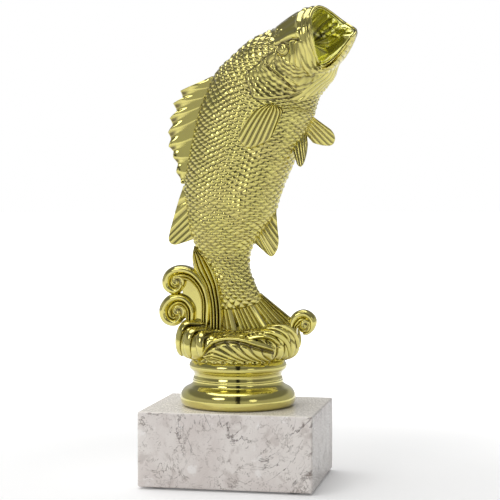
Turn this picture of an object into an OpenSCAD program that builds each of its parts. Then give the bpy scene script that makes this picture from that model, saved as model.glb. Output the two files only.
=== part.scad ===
// A fishing trophy: a bass that leaps out of curling waves, on a turned pedestal and a marble block.
// X runs from the fish's back to its belly, -Y is the side of its right flank, Z is up.
// The origin lies under the middle of the block, on the surface that the trophy stands on.

/* [Marble block] */
// Width of the block
block_w = 70; // [64:1:110]
// Depth of the block
block_d = 55; // [52:1:90]
// Height of the block
block_h = 30; // [24:1:60]
// Width of the eased edges
block_edge = 0.8; // [0.3:0.1:2]
// Bore for the bolt
bore_d = 7; // [6.6:0.1:9]
// Recess for the nut, in the underside
recess_d = 24; // [20:1:28]

/* [Felt pads] */
// Diameter of a pad
pad_d = 10; // [6:1:12]
// Thickness of a pad
pad_h = 0.8; // [0.5:0.1:2]
// Distance from the block's sides to a pad's middle
pad_inset = 8; // [7:0.5:10]

/* [Bolt, washer and nut] */
// Thread diameter of the bolt
bolt_d = 6; // [5:0.1:6.4]
// Width across the flats of the bolt's head
head_af = 10; // [9:0.5:12]
// Height of the bolt's head
head_h = 4; // [3:0.25:5]
// Outer diameter of the washer
washer_d = 18; // [14:0.5:19]
// Thickness of the washer
washer_h = 1.2; // [0.8:0.1:2]
// Width across the flats of the nut
nut_af = 10; // [9:0.5:12]
// Height of the nut
nut_h = 5; // [4:0.25:6]
// How far the nut can back off along the bolt
nut_travel = 3.5; // [1:0.5:4]
// Space left under the bolt's end
recess_spare = 0.8; // [0.5:0.1:2]

/* [Pedestal] */
// Height of the pedestal
pedestal_h = 18.4; // [17:0.2:26]
// Widest diameter of the foot
foot_d = 47.2; // [42:0.2:52]
// Diameter of the neck
neck_d = 35.6; // [33:0.2:38]
// Widest diameter of the upper ring
ring_d = 40; // [39:0.2:44]
// Wall of the pedestal
pedestal_wall = 2.2; // [1.6:0.1:3]
// Thickness of the web that holds the bolt's head
web_t = 5; // [4:0.25:6]
// Depth of the hexagonal pocket in the web
pocket_h = 2; // [1:0.25:2.5]

/* [Waves] */
// Width of the wave base
mound_w = 50.5; // [48:0.5:56]
// Depth of the wave base
mound_d = 38; // [36:0.5:44]
// Height of the wave base in its middle
mound_h = 11.4; // [9:0.1:13]
// Height of the spigot under the wave base
spigot_h = 3; // [2:0.25:5]
// Depth of the lobes round the wave base
lobe_depth = 1.1; // [0:0.1:2]
// Width of the curls from front to back
curl_w = 9; // [7:0.25:11]
// Thickness of a curl's band where it is widest
curl_t = 5.2; // [4:0.1:5.6]
// Thickness of the web between the curls
web_plate_t = 2; // [1:0.1:4]
// Thickness of the tall wave from front to back
leaf_t = 8; // [6:0.25:10]
// Thickness of the front crest
crest_t = 2.4; // [1.5:0.1:3]

/* [Fish] */
// Height of the fish from the tail root to the lips
fish_h = 118; // [100:1:140]
// Greatest width of the fish across both flanks
fish_w = 28; // [25:0.5:34]
// Height of the tail root over the marble
root_h = 41; // [40:0.5:44]
// How far the head bends to its right
head_shift = 16; // [8:0.5:20]
// Angle that the lips turn to the right
head_turn = 52; // [30:1:58]
// How far the corners of the mouth lie behind the lips
gape = 13.5; // [8:0.5:15]
// Wall of the two body halves
shell_wall = 1.8; // [1.5:0.1:2.2]
// Thickness of the mouth lining
lining_t = 1.2; // [0.8:0.1:1.6]

/* [Fins] */
// Thickness of the dorsal and anal fins
fin_t = 1.6; // [1.2:0.1:2]
// Depth of a fin's root behind the body's inner face
fin_root = 1; // [0.5:0.1:2]
// Thickness of the tail fin
tail_t = 2.4; // [1.8:0.1:2.6]
// Thickness of the pectoral fins
pectoral_t = 1.2; // [0.8:0.1:2]
// Length of the pelvic fins
pelvic_len = 10.5; // [8:0.5:13]
// Thickness of the pelvic fins
pelvic_t = 1.4; // [1:0.1:2]

/* [Fit] */
// Clearance of pieces that are glued into or onto each other
glue_gap = 0.15; // [0.1:0.01:0.2]
// Gap between the two body halves
seam_gap = 0.06; // [0.04:0.01:0.1]
// Clearance of the nut's thread, on the radius
thread_gap = 0.05; // [0.02:0.01:0.09]
// Clearance of the washer and the pedestal round the bolt, on the radius
bolt_gap = 0.2; // [0.1:0.05:0.4]

/* [Hidden] */
// How far a cut runs past the face that it opens
overrun = 0.5;
// Fineness of turned and drilled shapes
$fn = 96;
// Rings along the body, steps round a flank, and steps round the wave base
rings = 44;
flank_steps = 12;
mound_steps = 64;

// Levels that pieces seat on
block_top = pad_h + block_h;
pedestal_top = block_top + pedestal_h;
root_z = block_top + root_h;
// Depth of the recess: at full travel the nut is level with the bolt's end
recess_h = washer_h + nut_h + nut_travel + recess_spare;
recess_top = pad_h + recess_h;
// Height of the web in the pedestal, in shares of the pedestal's
web_share = 0.42;
web_z = block_top + pedestal_h * web_share;
head_z = web_z + web_t - pocket_h;

// Side view of the body from the tail root to the lips, in shares of the fish's height:
// the line of the back and the line of the belly
back_shares = [
    [-0.070, 0.000], [-0.080, 0.065], [-0.100, 0.125], [-0.140, 0.185], [-0.165, 0.250],
    [-0.175, 0.320], [-0.185, 0.395], [-0.170, 0.500], [-0.135, 0.655], [-0.105, 0.730],
    [-0.070, 0.800], [-0.015, 0.850], [0.050, 0.900], [0.125, 0.930], [0.190, 0.965],
    [0.240, 0.985], [0.285, 0.995]
];
belly_shares = [
    [0.085, 0.025], [0.060, 0.070], [0.040, 0.125], [0.045, 0.190], [0.085, 0.250],
    [0.125, 0.310], [0.150, 0.390], [0.190, 0.485], [0.255, 0.635], [0.265, 0.665],
    [0.280, 0.710], [0.310, 0.745], [0.335, 0.770], [0.350, 0.805], [0.375, 0.830],
    [0.400, 0.865], [0.420, 0.900]
];
// Width at each of these places, in shares of the greatest width
width_shares = [0.28, 0.30, 0.34, 0.44, 0.61, 0.75, 0.86, 0.93, 1, 1, 1, 1, 0.96, 0.93, 0.92, 0.91, 0.89];
// How the bend and the turn of the head grow towards the lips
shift_shares = [0, 0, 0, 0, 0, 0, 0, 0, 0, 0, 0, 0.08, 0.23, 0.42, 0.61, 0.80, 1];
turn_shares = [0, 0, 0, 0, 0, 0, 0, 0, 0, 0, 0.05, 0.15, 0.30, 0.50, 0.70, 0.85, 1];
// How much fuller the belly is than the back
full_share = 0.22;
// The gape begins at this share of the body's length. Its right corner lies low, and on the left the
// lips reach further ahead and lie nearer the middle
gape_from_share = 0.72;
gape_right_warp_share = 2.2;
gape_left_warp_share = 1.2;
gape_left_share = 0.5;
lip_left_share = 0.65;

// Curves and lofts

function mix(a, b, t) = a + (b - a) * t;

// Smooth curve through a list, at a position from 0, its first entry, to 1, its last
function curve(list, u) =
    let (last = len(list) - 1,
         t = u * last,
         i = min(max(floor(t), 0), last - 1),
         f = t - i,
         p0 = list[max(i - 1, 0)],
         p1 = list[i],
         p2 = list[i + 1],
         p3 = list[min(i + 2, last)])
    0.5 * (2 * p1 + (p2 - p0) * f + (2 * p0 - 5 * p1 + 4 * p2 - p3) * f * f
           + (3 * p1 - p0 - 3 * p2 + p3) * f * f * f);

function reverse(list) = [for (i = [len(list) - 1 : -1 : 0]) list[i]];

// Triangles of a loft through k closed sections of n points, each an outer row and an inner row read back
function loft_faces(k, n) = concat(
    [for (i = [0 : k - 2], j = [0 : n - 1])
        let (a = i * n + j, b = i * n + (j + 1) % n)
        each [[a, b, b + n], [a, b + n, a + n]]],
    [for (j = [0 : n / 2 - 2]) each [[n - 1 - j, n - 2 - j, j + 1], [n - 1 - j, j + 1, j]]],
    let (z = (k - 1) * n)
    [for (j = [0 : n / 2 - 2])
        each [[z + j, z + j + 1, z + n - 2 - j], [z + j, z + n - 2 - j, z + n - 1 - j]]]);

// Solid through sections; each section is [outer row, inner row]
module loft(sections, flip = false) {
    loops = [for (s = sections) concat(s[0], reverse(s[1]))];
    n = len(loops[0]);
    faces = loft_faces(len(loops), n);
    polyhedron([for (l = loops) each l], flip ? [for (f = faces) reverse(f)] : faces, convexity = 8);
}

// The fish's skin

function back_at(s) = fish_h * curve(back_shares, s) + [0, root_z];
function belly_at(s) = fish_h * curve(belly_shares, s) + [0, root_z];
function width_at(s) = fish_w / 2 * curve(width_shares, s);
function open_at(s) = pow(max(0, (s - gape_from_share) / (1 - gape_from_share)), 2);
function up_at(s) = let (d = back_at(s) - belly_at(s)) d / norm(d);
function turn_at(s) = head_turn * curve(turn_shares, s);
function ahead_at(s) = let (u = up_at(s)) [u[1], 0, -u[0]];
function gape_at(s, side) = gape * (side < 0 ? 1 : gape_left_share) * open_at(s);

// Way out of the flank, and way ahead, where the head is turned
function out_at(s, side) = side * (cos(turn_at(s)) * [0, 1, 0] + sin(turn_at(s)) * ahead_at(s));
function front_at(s) = cos(turn_at(s)) * ahead_at(s) - sin(turn_at(s)) * [0, 1, 0];

// Point at the place s along the body and the angle v round it, from 0 on the back to 180 on the belly,
// on the left flank, side 1, or the right one, side -1, and a distance inside the skin
function skin(s, v, side, inside = 0) =
    let (d = back_at(s),
         b = belly_at(s),
         u = up_at(s),
         deep = norm(d - b) / 2 - inside,
         wide = width_at(s) * (side < 0 ? 1 : mix(1, lip_left_share, open_at(s))) - inside,
         corner = pow(sin(180 * pow(v / 180, side < 0 ? gape_right_warp_share : gape_left_warp_share)), 2))
    [(d + b)[0] / 2, -head_shift * curve(shift_shares, s), (d + b)[1] / 2]
    + [u[0], 0, u[1]] * deep * cos(v)
    + out_at(s, side) * wide * sin(v) * (1 - full_share * cos(v))
    - front_at(s) * gape_at(s, side) * corner;

// Angle at which the skin lies a distance from the middle plane, near the back or near the belly
function back_angle(s, off, inside) = asin(off / ((width_at(s) - inside) * (1 - full_share)));
function belly_angle(s, off, inside) = 180 - asin(off / ((width_at(s) - inside) * (1 + full_share)));

// Stretches of the back and belly that carry the fins, in shares of the body's length
spiny_from_share = 0.364;
spiny_to_share = 0.633;
soft_from_share = 0.200;
soft_to_share = 0.400;
anal_from_share = 0.187;
anal_to_share = 0.351;

slot_half = fin_t / 2 + glue_gap;
function within(s, lo, hi) = s >= lo && s <= hi;
function back_gap(s) =
    within(s, spiny_from_share, spiny_to_share) || within(s, soft_from_share, soft_to_share)
    ? slot_half : seam_gap / 2;
function belly_gap(s) = within(s, anal_from_share, anal_to_share) ? slot_half : seam_gap / 2;

// Marble block and what stands it on the table

// Square of the given sides with its corners cut off
module eased_square(a, b) {
    x = a / 2;
    y = b / 2;
    polygon([[block_edge - x, -y], [x - block_edge, -y], [x, block_edge - y], [x, y - block_edge],
             [x - block_edge, y], [block_edge - x, y], [-x, y - block_edge], [-x, block_edge - y]]);
}

module marble_block() color("gainsboro") translate([0, 0, pad_h]) difference() {
    intersection() {
        linear_extrude(block_h) eased_square(block_w, block_d);
        translate([0, 0, block_h / 2]) rotate([90, 0, 0])
            linear_extrude(block_d, center = true) eased_square(block_w, block_h);
        translate([0, 0, block_h / 2]) rotate([90, 0, 90])
            linear_extrude(block_w, center = true) eased_square(block_d, block_h);
    }
    translate([0, 0, -overrun]) cylinder(d = bore_d, h = block_h + 2 * overrun);
    translate([0, 0, -overrun]) cylinder(d = recess_d, h = recess_h + overrun);
}

module felt_pads() color("dimgray")
    for (x = [-1, 1], y = [-1, 1])
        translate([x * (block_w / 2 - pad_inset), y * (block_d / 2 - pad_inset), 0])
            cylinder(d = pad_d, h = pad_h);

// Bolt, washer and nut

// Hexagonal prism of a width across its flats
module hexagon(flats, h) cylinder(d = flats / cos(30), h = h, $fn = 6);

module hex_bolt() color("silver") {
    translate([0, 0, head_z]) hexagon(head_af, head_h);
    translate([0, 0, recess_spare + pad_h]) cylinder(d = bolt_d, h = head_z - recess_spare - pad_h);
}

module washer() color("silver") translate([0, 0, recess_top - washer_h]) difference() {
    cylinder(d = washer_d, h = washer_h);
    translate([0, 0, -overrun]) cylinder(d = bolt_d + 2 * bolt_gap, h = washer_h + 2 * overrun);
}

module hex_nut() color("silver") translate([0, 0, recess_top - washer_h - nut_h]) difference() {
    hexagon(nut_af, nut_h);
    translate([0, 0, -overrun]) cylinder(d = bolt_d + 2 * thread_gap, h = nut_h + 2 * overrun);
}

// Pedestal

// Outline of the foot: reach from the neck in shares of the foot's, height in shares of the pedestal's
foot_shares = [
    [0.52, 0], [0.78, 0.03], [0.94, 0.10], [1, 0.19], [0.95, 0.28], [0.80, 0.36],
    [0.52, 0.43], [0.26, 0.50], [0.08, 0.57], [0, 0.61]
];
// The bead on the neck and the upper ring: reach in shares of the ring's
ring_shares = [
    [0.18, 0.625], [0.28, 0.67], [0.18, 0.72], [0, 0.74], [0.30, 0.77], [0.75, 0.81],
    [1, 0.87], [0.90, 0.93], [0.60, 0.98], [0.40, 1]
];
socket_r = neck_d / 2 - pedestal_wall;

module pedestal() color("darkkhaki") difference() {
    translate([0, 0, block_top]) rotate_extrude() polygon(concat(
        [[0, 0]],
        [for (p = foot_shares) [mix(neck_d, foot_d, p[0]) / 2, p[1] * pedestal_h]],
        [for (p = ring_shares) [mix(neck_d, ring_d, p[0]) / 2, p[1] * pedestal_h]],
        [[0, pedestal_h]]));
    translate([0, 0, block_top - overrun]) cylinder(r = socket_r, h = web_z - block_top + overrun);
    translate([0, 0, web_z + web_t]) cylinder(r = socket_r, h = pedestal_top - web_z - web_t + overrun);
    translate([0, 0, web_z - overrun]) cylinder(d = bolt_d + 2 * bolt_gap, h = web_t + 2 * overrun);
    translate([0, 0, head_z]) hexagon(head_af + 2 * glue_gap, pocket_h + overrun);
}

// Waves

// Outline of the wave base: reach in shares of its half width, height in shares of its height
mound_shares = [
    [0.72, 0], [0.85, 0.06], [0.94, 0.16], [0.99, 0.32], [1, 0.52], [0.98, 0.70],
    [0.93, 0.86], [0.82, 0.97], [0.60, 1]
];
// Rise of the rim on the left, where the curls stand, and on the right
left_rise_share = 0.66;
right_rise_share = 0.38;
lobe_count = 16;

function bump(angle, middle, spread) =
    let (d = (angle - middle + 540) % 360 - 180) exp(-pow(d / spread, 2));
left_spread = 34;
right_spread = 56;
function mound_rise(angle) =
    1 + left_rise_share * bump(angle, 180, left_spread) + right_rise_share * bump(angle, 0, right_spread);

// Point of the wave base at an angle round it and a position up its outline, pushed outwards
function mound_point(angle, u, out = 0) =
    let (p = curve(mound_shares, u),
         lobe = lobe_depth * (1 - abs(cos(angle * lobe_count / 2))) * (1 - u),
         rx = mound_w / 2 * p[0] - lobe + out,
         ry = mound_d / 2 * p[0] - lobe + out)
    [rx * cos(angle), ry * sin(angle),
     pedestal_top + mound_h * p[1] * mix(1, mound_rise(angle), p[1] * min(1, p[0]))];

mound_rows = 10;

module mound_body() {
    n = mound_steps;
    rows = [for (i = [0 : mound_rows - 1])
        [for (j = [0 : n - 1]) mound_point(360 * j / n, i / (mound_rows - 1))]];
    last = mound_rows * n;
    points = concat([for (r = rows) each r], [[0, 0, pedestal_top], [0, 0, pedestal_top + mound_h]]);
    faces = concat(
        [for (i = [0 : mound_rows - 2], j = [0 : n - 1])
            let (a = i * n + j, b = i * n + (j + 1) % n)
            each [[a, b + n, b], [a, a + n, b + n]]],
        [for (j = [0 : n - 1]) [last, j, (j + 1) % n]],
        [for (j = [0 : n - 1]) let (z = last - n) [last + 1, z + (j + 1) % n, z + j]]);
    polyhedron(points, faces, convexity = 6);
}

// Plate standing on the middle plane, from an outline in X and Z
module plate(outline, t) rotate([90, 0, 0]) linear_extrude(t, center = true) polygon(outline);

// Bands of water: points along the middle of the band in shares of the fish's height, from its root,
// each with its thickness in shares of the curl's
upper_shares = [
    [-0.110, -0.125, 0.45], [-0.110, -0.050, 0.50], [-0.110, 0.010, 0.56], [-0.124, 0.056, 0.65],
    [-0.152, 0.091, 0.74], [-0.180, 0.105, 0.86], [-0.210, 0.105, 0.98], [-0.234, 0.090, 1],
    [-0.238, 0.066, 1], [-0.222, 0.053, 0.75], [-0.206, 0.060, 0.52], [-0.204, 0.073, 0.4]
];
lower_shares = [
    [-0.164, -0.125, 0.5], [-0.164, -0.085, 0.5], [-0.164, -0.050, 0.52], [-0.166, -0.020, 0.6],
    [-0.183, 0.004, 0.68], [-0.207, 0.011, 0.82], [-0.232, 0.001, 1], [-0.248, -0.024, 1.05],
    [-0.243, -0.047, 1], [-0.225, -0.057, 0.75], [-0.209, -0.047, 0.52], [-0.208, -0.034, 0.4]
];
right_shares = [
    [0.197, -0.125, 0.5], [0.197, -0.095, 0.5], [0.197, -0.068, 0.5], [0.212, -0.046, 0.62],
    [0.232, -0.040, 0.66], [0.250, -0.054, 0.66], [0.253, -0.076, 0.58], [0.243, -0.091, 0.48],
    [0.229, -0.094, 0.35]
];
// Middles of the swellings that fill the curls, in shares of the fish's height, and their widths across
// and from front to back, in shares of the curl's
upper_eye_shares = [-0.212, 0.077];
lower_eye_shares = [-0.208, -0.026];
right_eye_shares = [0.236, -0.068];
eye_d_share = 0.74;
right_eye_d_share = 0.75;
eye_w_share = 0.8;
eye_sides = 22;
band_rings = 32;
band_sides = 10;
// Width left at a band's tip, and width of the right curl, both in shares of the full width
band_tip_share = 0.8;
right_width_share = 0.7;
// Short way along a curve that gives its direction
small_step = 0.01;
// Rooms for the feet of the bands, which run past the top of the wave base
room_h = 2 * mound_h;

function side_point(p) = [p[0] * fish_h, root_z + p[1] * fish_h];

// Direction of a band's middle line
function band_way(shares, u) =
    let (q = side_point(curve(shares, min(1, u + small_step)))
             - side_point(curve(shares, max(0, u - small_step))))
    q / norm(q);

// Angles round an oval section, and the section's outer and inner rows
oval_angles = [for (j = [0 : band_sides - 1]) 360 * (j + 0.5) / band_sides - 90];
function two_rows(ring) =
    [[for (j = [0 : band_sides / 2 - 1]) ring[j]],
     [for (j = [band_sides - 1 : -1 : band_sides / 2]) ring[j]]];

// Section of a band: an oval across its middle line, wide from front to back
function band_section(shares, u, w) =
    let (p = side_point(curve(shares, u)),
         d = band_way(shares, u),
         t = curve(shares, u)[2] * curl_t / 2,
         half = w / 2 * mix(1, band_tip_share, u))
    two_rows([for (a = oval_angles) [p[0] + d[1] * t * cos(a), half * sin(a), p[1] - d[0] * t * cos(a)]]);

module band(shares, w)
    loft([for (i = [0 : band_rings - 1]) band_section(shares, i / (band_rings - 1), w)], flip = true);

// Room in the wave base for a band's foot
module band_room(shares, w) {
    p = side_point(shares[0]);
    t = shares[0][2] * curl_t;
    translate([p[0], 0, p[1] - glue_gap]) linear_extrude(room_h) scale([t / 2 + glue_gap, w / 2 + glue_gap])
        circle(r = 1 / cos(180 / band_sides), $fn = band_sides * 2);
}

// Web of water between the curls: it fills the bend of the upper band down to the lower one
web_steps = 10;
// Stretches of the two bands that it touches, in shares of their lengths
web_upper_shares = [0.16, 0.50];
web_lower_shares = [0.42, 0.20];
function band_edge(shares, u, side) =
    let (d = band_way(shares, u))
    side_point(curve(shares, u)) + side * [d[1], -d[0]] * (curve(shares, u)[2] * curl_t / 2 + 2 * glue_gap);
function web_edge(shares, ends, side) =
    [for (i = [0 : web_steps]) band_edge(shares, mix(ends[0], ends[1], i / web_steps), side)];

// Swelling in the middle of a curl
module eye(shares, d, w) {
    p = side_point(shares);
    translate([p[0], 0, p[1]]) rotate([90, 0, 0]) scale([d, d, w]) sphere(d = 1, $fn = eye_sides);
}

module wave_web() color("darkkhaki") difference() {
    plate(concat(web_edge(upper_shares, web_upper_shares, -1), web_edge(lower_shares, web_lower_shares, 1)),
          web_plate_t);
    p = side_point(upper_eye_shares);
    translate([p[0], 0, p[1]]) rotate([90, 0, 0])
        cylinder(d = curl_w * eye_d_share + 2 * glue_gap, h = curl_w, center = true, $fn = 2 * eye_sides);
}

module upper_curl() color("darkkhaki") {
    band(upper_shares, curl_w);
    eye(upper_eye_shares, curl_w * eye_d_share, curl_w * eye_w_share);
}
module lower_curl() color("darkkhaki") {
    band(lower_shares, curl_w);
    eye(lower_eye_shares, curl_w * eye_d_share, curl_w * eye_w_share);
}
module right_curl() color("darkkhaki") {
    w = curl_w * right_width_share;
    band(right_shares, w);
    eye(right_eye_shares, w * right_eye_d_share, w * eye_w_share);
}

// Left and right edges of the tall wave at heights from its foot to its tip, in shares of the fish's height
leaf_shares = [
    [-0.092, -0.070, -0.125], [-0.092, -0.070, -0.090], [-0.093, -0.070, -0.040], [-0.094, -0.073, 0.000],
    [-0.100, -0.078, 0.035], [-0.113, -0.084, 0.070], [-0.142, -0.099, 0.115], [-0.152, -0.122, 0.152],
    [-0.153, -0.142, 0.180], [-0.151, -0.149, 0.200]
];
leaf_rings = 20;
// Thickness left at the tip, in shares of the foot's
leaf_tip_share = 0.35;

function leaf_section(u) =
    let (p = curve(leaf_shares, u) * fish_h,
         mid = (p[0] + p[1]) / 2,
         half = (p[1] - p[0]) / 2,
         deep = leaf_t / 2 * mix(1, leaf_tip_share, u))
    two_rows([for (a = oval_angles) [mid + half * cos(a), deep * sin(a), root_z + p[2]]]);

module tall_wave() color("darkkhaki")
    loft([for (i = [0 : leaf_rings - 1]) leaf_section(i / (leaf_rings - 1))], flip = true);

module leaf_room() {
    p = leaf_shares[0] * fish_h;
    translate([(p[0] + p[1]) / 2, 0, root_z + p[2] - glue_gap]) linear_extrude(room_h)
        scale([(p[1] - p[0]) / 2 + glue_gap, leaf_t / 2 + glue_gap])
        circle(r = 1 / cos(180 / band_sides), $fn = band_sides * 2);
}

// Tail fin, whose root fills the open end of the body
tail_shares = [
    [-0.018, 0.045], [-0.018, 0.006], [-0.066, -0.002], [-0.066, -0.125], [0.165, -0.125],
    [0.182, -0.090], [0.184, -0.042], [0.150, -0.020], [0.108, 0.006], [0.086, 0.022],
    [0.044, 0.016], [0.044, 0.045]
];
tail_outline = [for (p = tail_shares) side_point(p)];

module tail_fin() color("darkkhaki") plate(tail_outline, tail_t);

module wave_base() color("darkkhaki") {
    difference() {
        mound_body();
        rotate([90, 0, 0]) linear_extrude(tail_t + 2 * glue_gap, center = true)
            offset(delta = glue_gap) polygon(tail_outline);
        band_room(upper_shares, curl_w);
        band_room(lower_shares, curl_w);
        band_room(right_shares, curl_w * right_width_share);
        leaf_room();
    }
    translate([0, 0, pedestal_top - spigot_h]) cylinder(r = socket_r - glue_gap, h = spigot_h);
}

// Front crest: a raised patch that lies on the front of the wave base
crest_from = 248;
crest_to = 312;
crest_rings = 18;
crest_steps = 5;
// Top of the crest from left to right, as a position up the outline of the wave base
crest_top_shares = [0.45, 0.76, 0.90, 0.90, 0.82, 0.70, 0.60, 0.52];
crest_low_share = 0.2;
// Thickness at its lower edge, in shares of the thickness at its top
crest_edge_share = 0.5;

function crest_section(i) =
    let (t = i / (crest_rings - 1),
         angle = mix(crest_from, crest_to, t),
         top = curve(crest_top_shares, t),
         u = [for (j = [0 : crest_steps]) mix(crest_low_share, top, j / crest_steps)],
         thick = [for (j = [0 : crest_steps]) crest_t * mix(crest_edge_share, 1, pow(j / crest_steps, 2))])
    [[for (j = [0 : crest_steps]) mound_point(angle, u[j], lobe_depth + glue_gap + thick[j])],
     [for (j = [0 : crest_steps]) mound_point(angle, u[j], lobe_depth + glue_gap)]];

module front_crest() color("darkkhaki") loft([for (i = [0 : crest_rings - 1]) crest_section(i)]);

// Body halves

// The wall thins towards the lips, from this share of the body's length, to this share of its thickness
lip_from_share = 0.84;
lip_wall_share = 0.5;
function wall_at(s) = shell_wall * mix(1, lip_wall_share, max(0, (s - lip_from_share) / (1 - lip_from_share)));

function half_section(s, side) =
    let (wall = wall_at(s),
         o1 = back_angle(s, back_gap(s), 0),
         o2 = belly_angle(s, belly_gap(s), 0),
         i1 = back_angle(s, back_gap(s), wall),
         i2 = belly_angle(s, belly_gap(s), wall))
    [[for (j = [0 : flank_steps]) skin(s, mix(o1, o2, j / flank_steps), side)],
     [for (j = [0 : flank_steps]) skin(s, mix(i1, i2, j / flank_steps), side, wall)]];

module body_half(side)
    loft([for (i = [0 : rings - 1]) half_section(i / (rings - 1), side)], flip = side < 0);

module fish_right_half() color("darkkhaki") body_half(-1);
module fish_left_half() color("darkkhaki") body_half(1);

// Mouth lining: a cup inside the lips, narrower and closed at the throat
lining_from_share = 0.85;
lining_to_share = 0.998;
// How much narrower it is at the throat, in shares of the fish's width, and where its floor's inner face
// lies, in shares of its length
lining_narrow_share = 0.12;
lining_floor_share = 0.15;
lining_rings = 10;
lining_steps = 28;

function lining_point(t, k, extra) =
    let (s = mix(lining_from_share, lining_to_share, t),
         a = 360 * k / lining_steps,
         inside = wall_at(s) + 3 * glue_gap + extra + pow(1 - t, 2) * fish_w * lining_narrow_share)
    a <= 180 ? skin(s, a, -1, inside) : skin(s, 360 - a, 1, inside);

module mouth_lining() color("olive") {
    n = lining_steps;
    m = lining_rings;
    low = lining_floor_share;
    outer = [for (i = [0 : m - 1], k = [0 : n - 1]) lining_point(1 - i / (m - 1), k, 0)];
    inner = [for (i = [0 : m - 1], k = [0 : n - 1]) lining_point(mix(low, 1, i / (m - 1)), k, lining_t)];
    ends = [lining_point(0, 0, 0) + lining_point(0, n / 2, 0),
            lining_point(low, 0, lining_t) + lining_point(low, n / 2, lining_t)] / 2;
    last = 2 * m * n;
    faces = concat(
        [for (i = [0 : 2 * m - 1], j = [0 : n - 1]) if (i != m - 1)
            let (a = i * n + j, b = i * n + (j + 1) % n, c = (a + n) % last, d = (b + n) % last)
            each [[a, b, d], [a, d, c]]],
        [for (j = [0 : n - 1]) let (z = (m - 1) * n) [z + j, z + (j + 1) % n, last]],
        [for (j = [0 : n - 1]) let (z = m * n) [z + (j + 1) % n, z + j, last + 1]]);
    polyhedron(concat(outer, inner, ends), faces, convexity = 8);
}

// Fins on the middle plane

root_deep = shell_wall + fin_root;
fin_steps = 8;

// Root of a fin along the back or belly, a distance inside it, from one place to another
function root_line(lo, hi, deep, on_back) =
    [for (i = [0 : fin_steps])
        let (s = mix(lo, hi, i / fin_steps), u = up_at(s))
        on_back ? back_at(s) - u * deep : belly_at(s) + u * deep];
ring_step = 1 / (rings - 1);

// Outer edges from the front end to the rear one, in shares of the fish's height
spiny_shares = [
    [-0.090, 0.784], [-0.137, 0.765], [-0.202, 0.735], [-0.196, 0.712], [-0.228, 0.692], [-0.217, 0.666],
    [-0.240, 0.641], [-0.232, 0.618], [-0.246, 0.592], [-0.238, 0.569], [-0.244, 0.543], [-0.229, 0.526],
    [-0.227, 0.503], [-0.213, 0.483], [-0.217, 0.454], [-0.203, 0.429], [-0.199, 0.415]
];
soft_shares = [
    [-0.192, 0.408], [-0.212, 0.350], [-0.230, 0.291], [-0.243, 0.243], [-0.246, 0.221], [-0.238, 0.207],
    [-0.220, 0.203], [-0.188, 0.212], [-0.160, 0.222]
];
anal_shares = [
    [0.134, 0.330], [0.139, 0.264], [0.143, 0.221], [0.137, 0.187], [0.117, 0.165], [0.088, 0.186],
    [0.062, 0.212]
];

module median_fin(shares, lo, hi, on_back) {
    root = root_line(lo + ring_step, hi - ring_step, root_deep, on_back);
    color("darkkhaki") plate(concat([for (p = shares) side_point(p)], root), fin_t);
}

module spiny_dorsal_fin() median_fin(spiny_shares, spiny_from_share, spiny_to_share, true);
module soft_dorsal_fin() median_fin(soft_shares, soft_from_share, soft_to_share, true);
module anal_fin() median_fin(anal_shares, anal_from_share, anal_to_share, false);

// Pectoral fins: fans that lie on the flanks. Each ray runs from its root place to its tip place,
// given as the place along the body and the share of the way round from back to belly
pectoral_root_shares = [[0.552, 0.620], [0.549, 0.640], [0.545, 0.660]];
pectoral_tip_shares = [[0.468, 0.520], [0.460, 0.620], [0.465, 0.710], [0.535, 0.680]];
pectoral_rings = 9;
pectoral_steps = 6;

function pectoral_section(i, side) =
    let (t = i / (pectoral_rings - 1),
         a = curve(pectoral_root_shares, t),
         b = curve(pectoral_tip_shares, t),
         row = [for (j = [0 : pectoral_steps]) mix(a, b, j / pectoral_steps)])
    [[for (p = row) skin(p[0], 180 * p[1], side, -glue_gap - pectoral_t)],
     [for (p = row) skin(p[0], 180 * p[1], side, -glue_gap)]];

module pectoral_fin(side)
    color("darkkhaki")
    loft([for (i = [0 : pectoral_rings - 1]) pectoral_section(i, side)], flip = side < 0);
module pectoral_fin_right() pectoral_fin(-1);
module pectoral_fin_left() pectoral_fin(1);

// Pelvic fins: blades that stand off the belly and point back. Each has its front and rear rays:
// the place of the root along the body, the share of the way round, and the ray's reach away from the
// belly, back and aside in shares of the fin's length. The right fin is folded back, the left one spread
pelvic_right_shares = [
    [0.478, 0.985, 0.12, 0.62, 0.20], [0.468, 0.93, 0.20, 0.88, 0.30], [0.455, 0.885, 0.30, 0.72, 0.35]
];
pelvic_left_shares = [
    [0.505, 0.97, 0.90, 0.60, 0.30], [0.490, 0.95, 0.80, 0.75, 0.30], [0.475, 0.93, 0.36, 0.40, 0.15]
];
// How far a blade's middle stands off the skin, in shares of its thickness
pelvic_off_share = 0.33;
pelvic_rings = 8;
pelvic_steps = 4;

function pelvic_section(i, side) =
    let (p = curve(side < 0 ? pelvic_right_shares : pelvic_left_shares, i / (pelvic_rings - 1)),
         u = up_at(p[0]),
         root = skin(p[0], 180 * p[1], side, -glue_gap - pelvic_t * pelvic_off_share),
         ray = pelvic_len * (p[2] * [-u[0], 0, -u[1]] - p[3] * ahead_at(p[0]) + [0, p[4] * side, 0]),
         off = [0, pelvic_t / 2, 0])
    [[for (j = [0 : pelvic_steps]) root + ray * j / pelvic_steps + off],
     [for (j = [0 : pelvic_steps]) root + ray * j / pelvic_steps - off]];

module pelvic_fin(side)
    color("darkkhaki")
    loft([for (i = [0 : pelvic_rings - 1]) pelvic_section(i, side)], flip = true);
module pelvic_fin_right() pelvic_fin(-1);
module pelvic_fin_left() pelvic_fin(1);

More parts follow.
